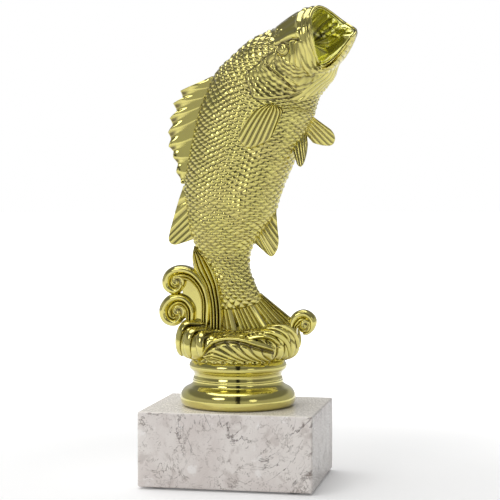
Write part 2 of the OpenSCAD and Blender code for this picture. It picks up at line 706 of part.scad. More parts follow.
marble_block();
felt_pads();
hex_bolt();
washer();
hex_nut();
pedestal();
wave_base();
front_crest();
tall_wave();
upper_curl();
lower_curl();
wave_web();
right_curl();
tail_fin();
fish_right_half();
fish_left_half();
mouth_lining();
spiny_dorsal_fin();
soft_dorsal_fin();
anal_fin();
pectoral_fin_right();
pectoral_fin_left();
pelvic_fin_right();
pelvic_fin_left();
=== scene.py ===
import bmesh
import bpy
import numpy as np
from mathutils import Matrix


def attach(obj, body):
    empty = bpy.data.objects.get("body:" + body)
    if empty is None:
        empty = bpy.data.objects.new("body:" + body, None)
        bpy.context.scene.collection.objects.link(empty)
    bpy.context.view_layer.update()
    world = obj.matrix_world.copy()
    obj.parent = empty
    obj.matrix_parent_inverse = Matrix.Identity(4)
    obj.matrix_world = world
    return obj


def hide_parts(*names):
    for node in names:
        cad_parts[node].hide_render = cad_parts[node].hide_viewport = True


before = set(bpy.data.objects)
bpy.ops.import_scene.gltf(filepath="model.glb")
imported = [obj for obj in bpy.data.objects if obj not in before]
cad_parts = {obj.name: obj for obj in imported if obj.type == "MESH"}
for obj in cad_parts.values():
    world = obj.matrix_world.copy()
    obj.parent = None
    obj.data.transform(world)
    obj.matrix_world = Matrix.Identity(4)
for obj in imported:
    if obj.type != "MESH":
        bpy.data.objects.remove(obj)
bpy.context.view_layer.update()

# Marble block
# The real block is sawn from pale grey marble with brown-grey veins and polished. Its edges are eased,
# and it is drilled for the bolt, with a round recess for the nut underneath.

MM = 0.001
TURN = 2 * np.pi
PAD_H = 0.8
BLOCK_TOP = 30.8
BLOCK_HALF = np.array([35.0, 27.5])
EDGE_R, EDGE_FLAT = 0.9, 0.06
BORE_R, BORE_EASE = 3.5, 0.3
RECESS_R, RECESS_TOP, RECESS_EASE = 12.0, 11.3, 0.4


def grid_quads(rows, cols, wrap_rows=False, wrap_cols=False):
    """Quads that join each point of a grid to the next row and column; a wrapped way joins last to
    first."""
    i = np.arange(rows if wrap_rows else rows - 1)[:, None]
    j = np.arange(cols if wrap_cols else cols - 1)[None, :]
    i2, j2 = (i + 1) % rows, (j + 1) % cols
    return np.stack([i * cols + j, i2 * cols + j, i2 * cols + j2, i * cols + j2], -1).reshape(-1, 4)


def tube_faces(rows, cols):
    """Faces of a tube of closed rings, one for each row, with a flat face over both of its ends."""
    return [grid_quads(rows, cols, wrap_cols=True), [np.arange(cols)], [np.arange(cols) + (rows - 1) * cols]]


def piece(name, points, faces, body, nodes, slot, material, sharp=None, **marks):
    """A closed mesh from points in millimetres, its faces turned outwards, that stands for CAD nodes.
    marks are numbers per point that the materials read, such as the painted shade that darkens a point in a
    groove."""
    mesh = bpy.data.meshes.new(name)
    corners = [face for part in faces for face in np.asarray(part).tolist()]
    mesh.from_pydata((np.asarray(points).reshape(-1, 3) * MM).tolist(), [], corners)
    rough = bmesh.new()
    rough.from_mesh(mesh)
    bmesh.ops.recalc_face_normals(rough, faces=rough.faces)
    rough.to_mesh(mesh)
    rough.free()
    for mark, values in marks.items():
        numbers = np.asarray(values, np.float32).ravel()
        mesh.attributes.new(mark, "FLOAT", "POINT").data.foreach_set("value", numbers)
    mesh.shade_smooth()
    if sharp is not None:
        mesh.set_sharp_from_angle(angle=np.radians(sharp))
    mesh.materials.append(material)
    made = bpy.data.objects.new(name, mesh)
    bpy.context.scene.collection.objects.link(made)
    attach(made, body)
    for node in nodes:
        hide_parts(node)


def block_rings():
    """Rings round the block, from the top of the bore outwards, down the sides and in to the recess:
    a ring is a circle, or the block's outline moved inwards by an inset."""
    arc = np.linspace(0, TURN / 4, 7)
    corner = np.stack([np.cos(arc), np.sin(arc)], -1)
    path, way = [], []
    for quarter in range(4):
        c, s = np.cos(quarter * TURN / 4), np.sin(quarter * TURN / 4)
        turn = np.array([[c, s], [-s, c]])
        half = BLOCK_HALF if quarter % 2 == 0 else BLOCK_HALF[::-1]
        along = np.linspace(half[0] - EDGE_R, -half[0] + EDGE_R, 14)[1:-1]
        side = np.stack([along, np.full(len(along), half[1])], -1)
        path += [(half - EDGE_R + corner * EDGE_R) @ turn, side @ turn]
        way += [corner @ turn, np.tile([0.0, 1.0], (len(along), 1)) @ turn]
    path, way = np.concatenate(path), np.concatenate(way)
    around = np.arctan2(path[:, 1], path[:, 0])
    round_way = np.stack([np.cos(around), np.sin(around)], -1)
    ring = lambda flat, z: np.column_stack([flat, np.full(len(flat), z)])
    circle = lambda r, z: ring(round_way * r, z)
    inset = lambda d, z: ring(path - way * d, z)
    ease = np.linspace(0, TURN / 4, 6)
    rings = [circle(BORE_R, BLOCK_TOP - BORE_EASE), circle(BORE_R + BORE_EASE, BLOCK_TOP)]
    rings += [inset(EDGE_R + EDGE_FLAT, BLOCK_TOP)]
    rings += [inset(EDGE_R * (1 - np.sin(t)), BLOCK_TOP - EDGE_R * (1 - np.cos(t))) for t in ease]
    rings += [inset(0, BLOCK_TOP - EDGE_R - EDGE_FLAT), inset(0, PAD_H + EDGE_R + EDGE_FLAT)]
    rings += [inset(EDGE_R * (1 - np.cos(t)), PAD_H + EDGE_R * (1 - np.sin(t))) for t in ease]
    rings += [inset(EDGE_R + EDGE_FLAT, PAD_H), circle(RECESS_R + RECESS_EASE, PAD_H)]
    rings += [circle(RECESS_R, PAD_H + RECESS_EASE), circle(RECESS_R, RECESS_TOP), circle(BORE_R, RECESS_TOP)]
    return np.array(rings)


def add(tree, kind, inputs=None, **settings):
    """A node with its settings and inputs; an input is a value or another node's output."""
    node = tree.nodes.new(kind)
    for key, value in settings.items():
        setattr(node, key, value)
    for key, value in (inputs or {}).items():
        if isinstance(value, bpy.types.NodeSocket):
            tree.links.new(value, node.inputs[key])
        else:
            node.inputs[key].default_value = value
    return node


def math(tree, operation, a, b=0.0, c=0.0):
    """Result of a sum on numbers or on other nodes' outputs."""
    return add(tree, "ShaderNodeMath", {0: a, 1: b, 2: c}, operation=operation).outputs[0]


def ramp(tree, value, low, high, to_low=0.0, to_high=1.0):
    """Smooth step of a value from one number to another."""
    inputs = {"Value": value, "From Min": low, "From Max": high, "To Min": to_low, "To Max": to_high}
    return add(tree, "ShaderNodeMapRange", inputs, interpolation_type="SMOOTHSTEP").outputs["Result"]


def blend(tree, share, a, b):
    """Colour that goes from a to b as the share goes from 0 to 1."""
    return add(tree, "ShaderNodeMix", {0: share, 6: a, 7: b}, data_type="RGBA").outputs[2]


def new_material(name):
    """A material with a plain surface; returns it, its tree, its surface and the place in millimetres."""
    material = bpy.data.materials.new(name)
    material.use_nodes = True
    tree = material.node_tree
    tree.nodes.clear()
    surface = add(tree, "ShaderNodeBsdfPrincipled")
    add(tree, "ShaderNodeOutputMaterial", {"Surface": surface.outputs[0]})
    place = add(tree, "ShaderNodeTexCoord").outputs["Object"]
    millimetres = add(tree, "ShaderNodeVectorMath", {0: place, 1: (1000, 1000, 1000)}, operation="MULTIPLY")
    return material, tree, surface, millimetres.outputs[0]


def rgb(red, green, blue):
    """Linear colour of a colour written as it looks, from 0 to 255."""
    c = np.array([red, green, blue]) / 255
    return (*np.where(c <= 0.04045, c / 12.92, ((c + 0.055) / 1.055) ** 2.4), 1.0)


def noise(tree, place, scale, detail=4.0, roughness=0.55, warp=0.0):
    """Cloudy noise from 0 to 1, with a scale per millimetre."""
    inputs = {"Vector": place, "Scale": scale, "Detail": detail, "Roughness": roughness, "Distortion": warp}
    return add(tree, "ShaderNodeTexNoise", inputs).outputs["Fac"]


# three sets of veins: scale, width, strength and colour of each
VEINS = [(0.028, 0.013, 0.95, (112, 102, 98)), (0.07, 0.018, 0.85, (126, 114, 106)),
         (0.17, 0.024, 0.60, (146, 134, 127))]

marble, tree, stone, place = new_material("pale_marble")
cloud = noise(tree, place, 0.045, 5, 0.6, 0.6)
patch = noise(tree, place, 0.11, 4, 0.6, 0.3)
colour = blend(tree, ramp(tree, cloud, 0.35, 0.65), rgb(214, 205, 200), rgb(230, 224, 219))
colour = blend(tree, ramp(tree, patch, 0.56, 0.66, 0, 0.55), colour, rgb(188, 177, 171))
colour = blend(tree, ramp(tree, patch, 0.41, 0.33, 0, 0.75), colour, rgb(242, 238, 235))
for scale, width, strength, shade in VEINS:
    line = noise(tree, place, scale, 6, 0.62, 1.4)
    off = math(tree, "ABSOLUTE", math(tree, "SUBTRACT", line, 0.5))
    where = ramp(tree, noise(tree, place, scale * 1.7 + 0.01, 2), 0.47, 0.60)
    share = math(tree, "MULTIPLY", ramp(tree, off, width, 0.0, 0, strength), where)
    colour = blend(tree, share, colour, rgb(*shade))
cells = add(tree, "ShaderNodeTexVoronoi", {"Vector": place, "Scale": 0.75, "Randomness": 1.0})
speck = cells.outputs["Distance"]
where = ramp(tree, noise(tree, place, 0.09, 3), 0.50, 0.62)
share = math(tree, "MULTIPLY", ramp(tree, speck, 0.22, 0.08, 0, 0.6), where)
colour = blend(tree, share, colour, rgb(132, 118, 112))
grain = noise(tree, place, 1.6, 3)
colour = blend(tree, ramp(tree, grain, 0.55, 0.75, 0, 0.25), colour, rgb(182, 171, 166))
# painted light: the block's top face is blended to a paler colour
level = add(tree, "ShaderNodeSeparateXYZ", {0: place}).outputs[2]
colour = blend(tree, ramp(tree, level, BLOCK_TOP - 0.4, BLOCK_TOP - 0.05, 0, 0.8), colour, rgb(240, 234, 225))
tree.links.new(colour, stone.inputs["Base Color"])
tree.links.new(ramp(tree, grain, 0.3, 0.8, 0.20, 0.34), stone.inputs["Roughness"])
bump = add(tree, "ShaderNodeBump", {"Height": speck, "Strength": 0.04, "Distance": 0.0002})
tree.links.new(bump.outputs[0], stone.inputs["Normal"])

rings = block_rings()
faces = [grid_quads(len(rings), rings.shape[1], True, True)]
piece("block", rings, faces, "base", ["marble_block"], "marble", marble, sharp=35)

# Felt pads
# Four round pads of dark pressed felt, punched from sheet and stuck under the block's corners.

PAD_R, PAD_INSET = 5.0, 8.0
PAD_PLACE = BLOCK_HALF - PAD_INSET
PAD_PROFILE = [(2.5, 0), (4.6, 0), (4.9, 0.1), (PAD_R, 0.25), (PAD_R, 0.6), (4.92, PAD_H), (2.5, PAD_H)]


def turned(profile, steps, middle=(0.0, 0.0)):
    """A profile of radius and height turned round a vertical axis, x = r cos a and y = r sin a: one row of
    points for each point of the profile."""
    profile = np.asarray(profile, float)
    angle = np.arange(steps) * TURN / steps
    r, z = profile[:, :1], profile[:, 1:]
    return np.stack([middle[0] + r * np.cos(angle), middle[1] + r * np.sin(angle), z + 0 * angle], -1)


def joined(parts):
    """Several closed shapes as one list of points, one list of faces and one number of painted shade for each
    point.
    """
    points, faces, dark, start = [], [], [], 0
    for shape, its_faces, its_dark in parts:
        points.append(np.asarray(shape).reshape(-1, 3))
        faces += [np.asarray(f) + start for f in its_faces]
        dark.append(np.broadcast_to(its_dark, np.asarray(shape).shape[:-1]).ravel())
        start += len(points[-1])
    return np.concatenate(points), faces, np.concatenate(dark)


felt, tree, cloth, place = new_material("dark_felt")
fibre = noise(tree, place, 5.0, 6, 0.7, 2.0)
tree.links.new(blend(tree, fibre, rgb(44, 43, 46), rgb(82, 80, 84)), cloth.inputs["Base Color"])
cloth.inputs["Roughness"].default_value = 0.95
cloth.inputs["Sheen Weight"].default_value = 0.4
bump = add(tree, "ShaderNodeBump", {"Height": fibre, "Strength": 0.6, "Distance": 0.0003})
tree.links.new(bump.outputs[0], cloth.inputs["Normal"])

pads = [turned(PAD_PROFILE, 48, PAD_PLACE * way) for way in ((-1, -1), (-1, 1), (1, -1), (1, 1))]
points, faces, _ = joined([(pad, tube_faces(len(PAD_PROFILE), 48), 0.0) for pad in pads])
piece("pads", points, faces, "base", ["felt_pads"], "felt", felt, sharp=50)

# Bolt, washer and nut
# Zinc-plated steel hardware: a long hex bolt whose head sits in the pedestal, a wide washer and a hex
# nut in the recess under the block. The thread is rolled, with a pitch of one millimetre.

BOLT_R, BOLT_END, BOLT_POINT = 3.0, 1.6, 0.8
PITCH, THREAD_DEPTH = 1.0, 0.55
HEAD_Z, HEAD_TOP, HEAD_EASE = 41.53, 45.53, 0.35
HALF_FLATS = 5.0
WASHER_R, WASHER_BORE, WASHER_T = 9.0, 3.2, 1.2
NUT_H, NUT_BORE, NUT_FACE_R = 5.0, 3.05, 4.7

steel, tree, metal, place = new_material("zinc_plated_steel")
haze = noise(tree, place, 0.9, 4, 0.6)
tree.links.new(blend(tree, haze, rgb(176, 178, 184), rgb(206, 207, 210)), metal.inputs["Base Color"])
metal.inputs["Metallic"].default_value = 1.0
tree.links.new(ramp(tree, haze, 0.3, 0.7, 0.28, 0.42), metal.inputs["Roughness"])
drawn = add(tree, "ShaderNodeVectorMath", {0: place, 1: (6.0, 0.6, 6.0)}, operation="MULTIPLY").outputs[0]
scratch = noise(tree, drawn, 1.0, 3)
bump = add(tree, "ShaderNodeBump", {"Height": scratch, "Strength": 0.15, "Distance": 0.0001})
tree.links.new(bump.outputs[0], metal.inputs["Normal"])


def hex_radius(angle, half_flats):
    """Radius of a hexagon towards an angle: half the flats over the cosine of the angle from a flat's
    middle."""
    return half_flats / np.cos(np.mod(angle, TURN / 6) - TURN / 12)


def ring_at(angle, r, z):
    """Ring round the middle axis: x = r cos a, y = r sin a, with a radius that may follow the angle."""
    return np.stack([r * np.cos(angle), r * np.sin(angle), z + 0 * angle], -1)


steps = 72
angle = np.arange(steps) * TURN / steps
z = np.arange(BOLT_END, HEAD_Z, PITCH / 7)[:, None]
wave = np.abs(np.mod(z / PITCH + angle / TURN, 1) * 2 - 1)
end = np.clip((z - BOLT_END) / BOLT_POINT, 0, 1)
shank_r = (BOLT_R - THREAD_DEPTH * (1 - wave)) * (0.8 + 0.2 * end) + 0 * z
corner = hex_radius(angle, HALF_FLATS)
head = [ring_at(angle, corner, HEAD_Z), ring_at(angle, corner, HEAD_TOP - 2 * HEAD_EASE),
        ring_at(angle, np.minimum(corner, HALF_FLATS + HEAD_EASE), HEAD_TOP - HEAD_EASE),
        ring_at(angle, 0 * corner + HALF_FLATS - 0.2, HEAD_TOP)]
rows = np.concatenate([ring_at(angle, shank_r, z), np.array(head)])
piece("bolt", rows, tube_faces(len(rows), steps), "figure", ["hex_bolt"], "fastener_steel", steel, sharp=32)

washer_low = RECESS_TOP - WASHER_T
profile = [(WASHER_BORE, washer_low + 0.1), (WASHER_BORE + 0.1, washer_low), (WASHER_R - 0.2, washer_low),
           (WASHER_R, washer_low + 0.2), (WASHER_R, RECESS_TOP - 0.15), (WASHER_R - 0.15, RECESS_TOP),
           (WASHER_BORE + 0.1, RECESS_TOP), (WASHER_BORE, RECESS_TOP - 0.1)]
faces = [grid_quads(len(profile), 96, True, True)]
piece("washer_ring", turned(profile, 96), faces, "washer", ["washer"], "fastener_steel", steel, sharp=35)

nut_half = [(NUT_BORE, 0.4), (NUT_BORE + 0.4, 0), (NUT_FACE_R, 0),
            (np.minimum(corner, HALF_FLATS + 0.25), 0.25), (corner, 0.7)]
rows = [ring_at(angle, r, washer_low - NUT_H + up) for r, up in nut_half]
rows += [ring_at(angle, r, washer_low - down) for r, down in reversed(nut_half)]
faces = [grid_quads(len(rows), steps, True, True)]
piece("nut", np.array(rows), faces, "nut", ["hex_nut"], "fastener_steel", steel, sharp=32)

# Pedestal
# The first gold piece: a hollow turned shape in moulded plastic with a mirror-like lemon-gold metal
# film. It has a wide foot, a bead on its neck and a flat ring above, where the waves are glued in.

PEDESTAL_TOP = 49.2
NECK_D, FOOT_D, RING_D = 35.6, 47.2, 40.0
SOCKET_R, POCKET_R, HOLE_R = 15.6, 5.95, 3.2
WEB_LOW, WEB_HIGH = 38.53, 43.53
# shares of the way from the neck out to the width, and of the height
FOOT = [(0.60, 0), (0.84, 0.03), (0.96, 0.09), (1, 0.175), (0.97, 0.24), (0.90, 0.30), (0.78, 0.355),
        (0.62, 0.40), (0.38, 0.44), (0.20, 0.48), (0.12, 0.53), (0.11, 0.575)]
BEAD = [(0.20, 0.585), (0.24, 0.605), (0.16, 0.635), (0.06, 0.66)]
RING = [(0.02, 0.69), (0.10, 0.72), (0.32, 0.765), (0.70, 0.805), (0.97, 0.86), (0.92, 0.92), (0.60, 0.98),
        (0.40, 1)]


def curve(table, u):
    """Catmull-Rom curve through the rows of a table, at positions from 0, its first row, to 1, its last."""
    table = np.asarray(table, float)
    last = len(table) - 1
    t = np.asarray(u, float) * last
    i = np.clip(np.floor(t).astype(int), 0, last - 1)
    f = (t - i).reshape(t.shape + (1,) * (table.ndim - 1))
    p0, p1, p2, p3 = (table[np.clip(i + k, 0, last)] for k in (-1, 0, 1, 2))
    return 0.5 * (2 * p1 + (p2 - p0) * f + (2 * p0 - 5 * p1 + 4 * p2 - p3) * f**2
                  + (3 * p1 - p0 - 3 * p2 + p3) * f**3)


def film_group():
    """The look of the metal film, shared by the gold materials: grooves take a painted shade of the deep
    colour and go dull, the film's colour drifts a little, and the moulding under it leaves a faint
    unevenness."""
    group = bpy.data.node_groups.new("gold_film", "ShaderNodeTree")
    for name, kind in (("Place", "Vector"), ("Groove", "Float"), ("Gold", "Color"), ("Deep", "Color")):
        group.interface.new_socket(name, in_out="INPUT", socket_type="NodeSocket" + kind)
    for name, kind in (("Colour", "Color"), ("Roughness", "Float"), ("Unevenness", "Float")):
        group.interface.new_socket(name, in_out="OUTPUT", socket_type="NodeSocket" + kind)
    given, out = add(group, "NodeGroupInput"), add(group, "NodeGroupOutput")
    drift = noise(group, given.outputs["Place"], 0.12, 3)
    fine = noise(group, given.outputs["Place"], 1.3, 3)
    drifted = ramp(group, drift, 0.35, 0.65, 0.0, 0.35)
    shade = blend(group, drifted, given.outputs["Gold"], rgb(206, 190, 116))
    # painted shade: in the grooves the film's colour is blended towards the deep colour
    depth = math(group, "MULTIPLY", given.outputs["Groove"], ramp(group, fine, 0.25, 0.6, 0.82, 1.0))
    group.links.new(blend(group, depth, shade, given.outputs["Deep"]), out.inputs["Colour"])
    dull = math(group, "MULTIPLY_ADD", given.outputs["Groove"], 0.2, ramp(group, drift, 0.3, 0.7, 0.06, 0.11))
    group.links.new(dull, out.inputs["Roughness"])
    group.links.new(fine, out.inputs["Unevenness"])
    return group


gold_film = film_group()


def gold_material(name, gold, deep, unevenness=0.05, dull=0.0):
    """The film over a moulding, with its colour on the heights and the colour of the painted shade in its
    grooves, how uneven the moulding is, and how much duller than the shared film it is."""
    material, tree, metal, place = new_material(name)
    # each point's painted shade, stored on the piece's mesh
    groove = add(tree, "ShaderNodeAttribute", attribute_name="groove").outputs["Fac"]
    film = add(tree, "ShaderNodeGroup", node_tree=gold_film)
    tree.links.new(place, film.inputs["Place"])
    tree.links.new(groove, film.inputs["Groove"])
    film.inputs["Gold"].default_value = gold
    film.inputs["Deep"].default_value = deep
    tree.links.new(film.outputs["Colour"], metal.inputs["Base Color"])
    tree.links.new(math(tree, "ADD", film.outputs["Roughness"], dull), metal.inputs["Roughness"])
    metal.inputs["Metallic"].default_value = 1.0
    metal.inputs["Coat Weight"].default_value = 0.8
    metal.inputs["Coat Roughness"].default_value = 0.03
    inputs = {"Height": film.outputs["Unevenness"], "Strength": unevenness, "Distance": 0.0004}
    bump = add(tree, "ShaderNodeBump", inputs)
    tree.links.new(bump.outputs[0], metal.inputs["Normal"])
    return material


# the second colour is the painted shade in the grooves
plated = gold_material("lemon_gold_film", rgb(220, 211, 118), rgb(94, 82, 48))

def gold_piece(name, points, faces, node, groove, sharp=None):
    """A piece in the metal film, which stands for one node and is part of the figure."""
    piece(name, points, faces, "figure", [node], "gold_plating", plated, sharp=sharp, groove=groove)


def turned_edge(shares, wide, count):
    """A stretch of the pedestal's outline as points of radius and height, for its shares and a width."""
    rise = PEDESTAL_TOP - BLOCK_TOP
    places = [((NECK_D + (wide - NECK_D) * out) / 2, BLOCK_TOP + rise * up) for out, up in shares]
    return curve(places, np.linspace(0, 1, count))


outline = [turned_edge(FOOT, FOOT_D, 60), turned_edge(BEAD, RING_D, 18), turned_edge(RING, RING_D, 34)]
outline = np.concatenate(outline)
inner = [(SOCKET_R, PEDESTAL_TOP), (SOCKET_R, WEB_HIGH), (POCKET_R, WEB_HIGH), (POCKET_R, HEAD_Z),
         (HOLE_R, HEAD_Z), (HOLE_R, WEB_LOW), (SOCKET_R, WEB_LOW), (SOCKET_R, BLOCK_TOP)]
profile = np.concatenate([outline, inner])
# painted shade in the concave stretches of the outline
lean = np.gradient(np.gradient(outline[:, 0]))
hollow = np.concatenate([np.clip(lean * 6, 0, 1) * 0.35, np.zeros(len(inner))])
faces = [grid_quads(len(profile), 200, True, True)]
gold_piece("pedestal_turned", turned(profile, 200), faces, "pedestal", np.repeat(hollow, 200), sharp=48)

# Fish's shape
# The moulded bass is a hollow shell in two halves. These are the lines that all of its pieces share:
# the back and the belly in side view, the width, and how the head bends and turns to the right.

ROOT_Z = 71.8
FISH_H, FISH_W = 118.0, 28.0
HEAD_SHIFT, HEAD_TURN, GAPE = 16.0, 52.0, 13.5
SHELL, LIP = 1.8, 0.9
GLUE = 0.15
FULL = 0.22
# the back and the belly, as shares of the fish's height ahead of and above its root
BACK = [(-0.070, 0.000), (-0.080, 0.065), (-0.100, 0.125), (-0.140, 0.185), (-0.165, 0.250), (-0.175, 0.320),
        (-0.185, 0.395), (-0.170, 0.500), (-0.135, 0.655), (-0.105, 0.730), (-0.070, 0.800), (-0.015, 0.850),
        (0.050, 0.900), (0.125, 0.930), (0.190, 0.965), (0.240, 0.985), (0.285, 0.995)]
BELLY = [(0.085, 0.025), (0.060, 0.070), (0.040, 0.125), (0.045, 0.190), (0.085, 0.250), (0.125, 0.310),
         (0.150, 0.390), (0.190, 0.485), (0.255, 0.635), (0.265, 0.665), (0.280, 0.710), (0.310, 0.745),
         (0.335, 0.770), (0.350, 0.805), (0.375, 0.830), (0.400, 0.865), (0.420, 0.900)]
# shares of the full width, of the head's way to the right and of its turn, at the same places
WIDTH = [0.28, 0.30, 0.34, 0.44, 0.61, 0.75, 0.86, 0.93, 1, 1, 1, 1, 0.96, 0.93, 0.92, 0.91, 0.89]
SHIFT = [0, 0, 0, 0, 0, 0, 0, 0, 0, 0, 0, 0.08, 0.23, 0.42, 0.61, 0.80, 1]
HEAD = [0, 0, 0, 0, 0, 0, 0, 0, 0, 0, 0.05, 0.15, 0.30, 0.50, 0.70, 0.85, 1]
# for the right half, -1, and the left half, 1: how much it narrows to the lips, how far the corner of its
# mouth draws back, and how near the belly that corner is
NARROWS = {-1: 0, 1: 0.35}
DRAWS_BACK = {-1: 1, 1: 0.5}
CORNER_LOW = {-1: 2.2, 1: 1.2}


def side_point(p):
    """A share of the fish's height ahead of and above its root, as X and Z."""
    return np.asarray(p, float) * FISH_H + [0, ROOT_Z]


def open_at(s):
    """How far the mouth's opening has grown, from 0 to 1 at the lips."""
    return np.clip((s - 0.72) / 0.28, 0, None) ** 2


def wall_at(s):
    """Thickness of the shell, which thins towards the lips."""
    return SHELL + (LIP - SHELL) * np.clip((s - 0.84) / 0.16, 0, 1)


def skin(s, v, side, inside=0.0):
    """Point of the skin at the place s along the body and v degrees round it from the back to the belly.
    A section is an oval, fuller below, set across the line from the back to the belly, turned with the
    head; near the lips the corners of the mouth draw back."""
    s, v = np.broadcast_arrays(np.asarray(s, float), np.asarray(v, float))
    back, belly = side_point(curve(BACK, s)), side_point(curve(BELLY, s))
    across = back - belly
    size = np.linalg.norm(across, axis=-1)
    up = across / size[..., None]
    nil = np.zeros_like(size)
    up3 = np.stack([up[..., 0], nil, up[..., 1]], -1)
    ahead = np.stack([up[..., 1], nil, -up[..., 0]], -1)
    turn = np.radians(HEAD_TURN * curve(HEAD, s))[..., None]
    left = np.array([0.0, 1.0, 0.0])
    out = side * (np.cos(turn) * left + np.sin(turn) * ahead)
    front = np.cos(turn) * ahead - np.sin(turn) * left
    deep = size / 2 - inside
    wide = FISH_W / 2 * curve(WIDTH, s) * (1 - NARROWS[side] * open_at(s)) - inside
    a = np.radians(v)
    reach = GAPE * DRAWS_BACK[side] * open_at(s)
    corner = np.sin(np.pi * np.clip(v / 180, 0, 1) ** CORNER_LOW[side]) ** 2
    middle = [(back + belly)[..., 0] / 2, -HEAD_SHIFT * curve(SHIFT, s), (back + belly)[..., 1] / 2]
    sideways = out * (wide * np.sin(a) * (1 - FULL * np.cos(a)))[..., None]
    return (np.stack(middle, -1) + up3 * (deep * np.cos(a))[..., None] + sideways
            - front * (reach * corner)[..., None])


def skin_way(s, v, side):
    """Outward direction of the skin, across its slopes along and round the body."""
    along = skin(np.minimum(s + 0.002, 1.0), v, side) - skin(np.maximum(s - 0.002, 0.0), v, side)
    round_ = skin(s, v + 0.6, side) - skin(s, v - 0.6, side)
    way = np.cross(along, round_) * side
    way /= np.linalg.norm(way, axis=-1, keepdims=True)
    middle = skin(s, 90.0 + 0 * v, 1) / 2 + skin(s, 90.0 + 0 * v, -1) / 2
    flip = np.sign(np.sum(way * (skin(s, v, side) - middle), -1, keepdims=True))
    return way * np.where(flip == 0, 1, flip)


def ways(points, wrap_cols=False):
    """Directions across a grid surface, from the slopes along its rows and columns."""
    a = np.gradient(points, axis=0)
    b = (np.roll(points, -1, 1) - np.roll(points, 1, 1)) / 2 if wrap_cols else np.gradient(points, axis=1)
    way = np.cross(a, b)
    return way / np.maximum(np.linalg.norm(way, axis=-1, keepdims=True), 1e-9)


def hump(x, width):
    """Bell-shaped bump of x, one in its middle."""
    return np.exp(-((x / width) ** 2))


def step(x, low, high):
    """Smooth step from 0 at low to 1 at high."""
    t = np.clip((x - low) / (high - low), 0, 1)
    return t * t * (3 - 2 * t)


def nearest(points, line):
    """Distance of each point from a line through given points."""
    best = np.full(points.shape[:-1], 1e9)
    for a, b in zip(line[:-1], line[1:]):
        ab = b - a
        t = np.clip((points - a) @ ab / np.linalg.norm(ab) ** 2, 0, 1)
        best = np.minimum(best, np.linalg.norm(points - a - t[..., None] * ab, axis=-1))
    return best


def within(s, v, corners):
    """Whether places lie in a polygon of places, by counting the edges to one side of them."""
    odd = np.zeros(s.shape, bool)
    for (s1, v1), (s2, v2) in zip(corners, corners[1:] + corners[:1]):
        crosses = (v1 > v) != (v2 > v)
        odd ^= crosses & (s < s1 + (v - v1) * (s2 - s1) / (v2 - v1 + 1e-12))
    return odd


# Wave base
# A lobed mound of moulded water, glued into the pedestal. Its foot breaks into rounded fingers, and
# streaks of spray run up and over it. The rooms for the tail and the curls are hidden in it.

MOUND_W, MOUND_D, MOUND_H = 50.5, 38.0, 11.4
MOUND = [(0.72, 0), (0.85, 0.06), (0.94, 0.16), (0.99, 0.32), (1, 0.52), (0.98, 0.70), (0.93, 0.86),
         (0.82, 0.97), (0.60, 1)]
MOUND_TOP_SHARE = 0.60
MOUND_FOOT_R = 17.7


def swell(angle, middle, spread):
    """Bell-shaped swelling round the mound, with its middle and its spread in degrees."""
    return hump(np.mod(angle - middle + 540, 360) - 180, spread)


def mound(angle, u, out=0.0):
    """Point of the mound at an angle in degrees and a place up its outline; the rim rises at both ends."""
    p = curve(MOUND, np.clip(u, 0, 1))
    reach, height = p[..., 0], p[..., 1]
    over = np.clip(2 - u, 0, 1)
    reach = np.where(u > 1, MOUND_TOP_SHARE * over, reach)
    rise = 1 + 0.66 * swell(angle, 180, 34) + 0.38 * swell(angle, 0, 56)
    a = np.radians(angle)
    tall = MOUND_H * height * (1 + (rise - 1) * height * np.minimum(1, reach))
    wide, deep = MOUND_W / 2 * reach + out, MOUND_D / 2 * reach + out
    return np.stack([wide * np.cos(a), deep * np.sin(a), PEDESTAL_TOP + tall], -1)


def strand(path, width, height, rings=36, sides=12):
    """A tapering strand of water on the mound, along a path of angles and places up its outline. Its
    section is an oval with a sharp crest, and both of its ends run out into points."""
    t = np.linspace(0, 1, rings)
    at = curve(path, t)
    middle = mound(at[:, 0], at[:, 1])
    way = np.gradient(middle, axis=0)
    way /= np.linalg.norm(way, axis=-1, keepdims=True)
    up = mound(at[:, 0], at[:, 1], 1.0) - middle + np.array([0, 0, 1.0]) * np.clip(at[:, 1:] - 0.6, 0, 1)
    up -= way * np.sum(up * way, -1, keepdims=True)
    up /= np.linalg.norm(up, axis=-1, keepdims=True)
    side = np.cross(way, up)
    full = np.sin(np.pi * t**0.8)[:, None] ** 0.7 + 0.03
    a = np.arange(sides) * TURN / sides
    x, y = np.cos(a), np.sin(a)
    y = np.where(y > 0, y * (1.25 - 0.45 * np.abs(x)), y)
    sideways = side[:, None] * (width / 2 * full * x)[..., None]
    points = middle[:, None] + sideways + up[:, None] * (height * full * y)[..., None]
    # painted shade on the strand's underside and towards its flanks
    dark = np.clip(-y * 1.4 + 0.35 * np.abs(x) ** 3, 0, 1) + 0 * t[:, None]
    return points, tube_faces(rings, sides), dark


cols = 560
angle = np.arange(cols)[None, :] * 360 / cols
u = np.concatenate([np.linspace(0, 1, 110), np.linspace(1, 1.97, 41)[1:]])[:, None]
base = mound(angle + 0 * u, u + 0 * angle)
radius = np.hypot(base[..., 0], base[..., 1])
short = np.clip(MOUND_FOOT_R + 3 * u - radius, 0, None) * step(u, 0.36, 0.22)
base[..., :2] *= (1 + short / radius)[..., None]
way = -ways(base, wrap_cols=True)
left = step(np.cos(np.radians(np.minimum(angle, 360 - angle) - 150)), 0.6, 0.85)
bend = 14 * np.sin(np.radians(angle * 2 + 40)) + 22 * u
finger = np.abs(np.sin(np.radians(angle * 17 + 20 * np.sin(np.radians(angle * 3)) + bend)))
low = 0.35 + 0.65 * step(np.cos(np.radians(angle - 300)), -0.2, 0.6)
low = low + (1 - low) * left
column = np.abs(np.sin(np.radians(angle * 9 + 10 + 30 * u * np.sign(180 - angle))))
finger = finger * (1 - left) + column * left
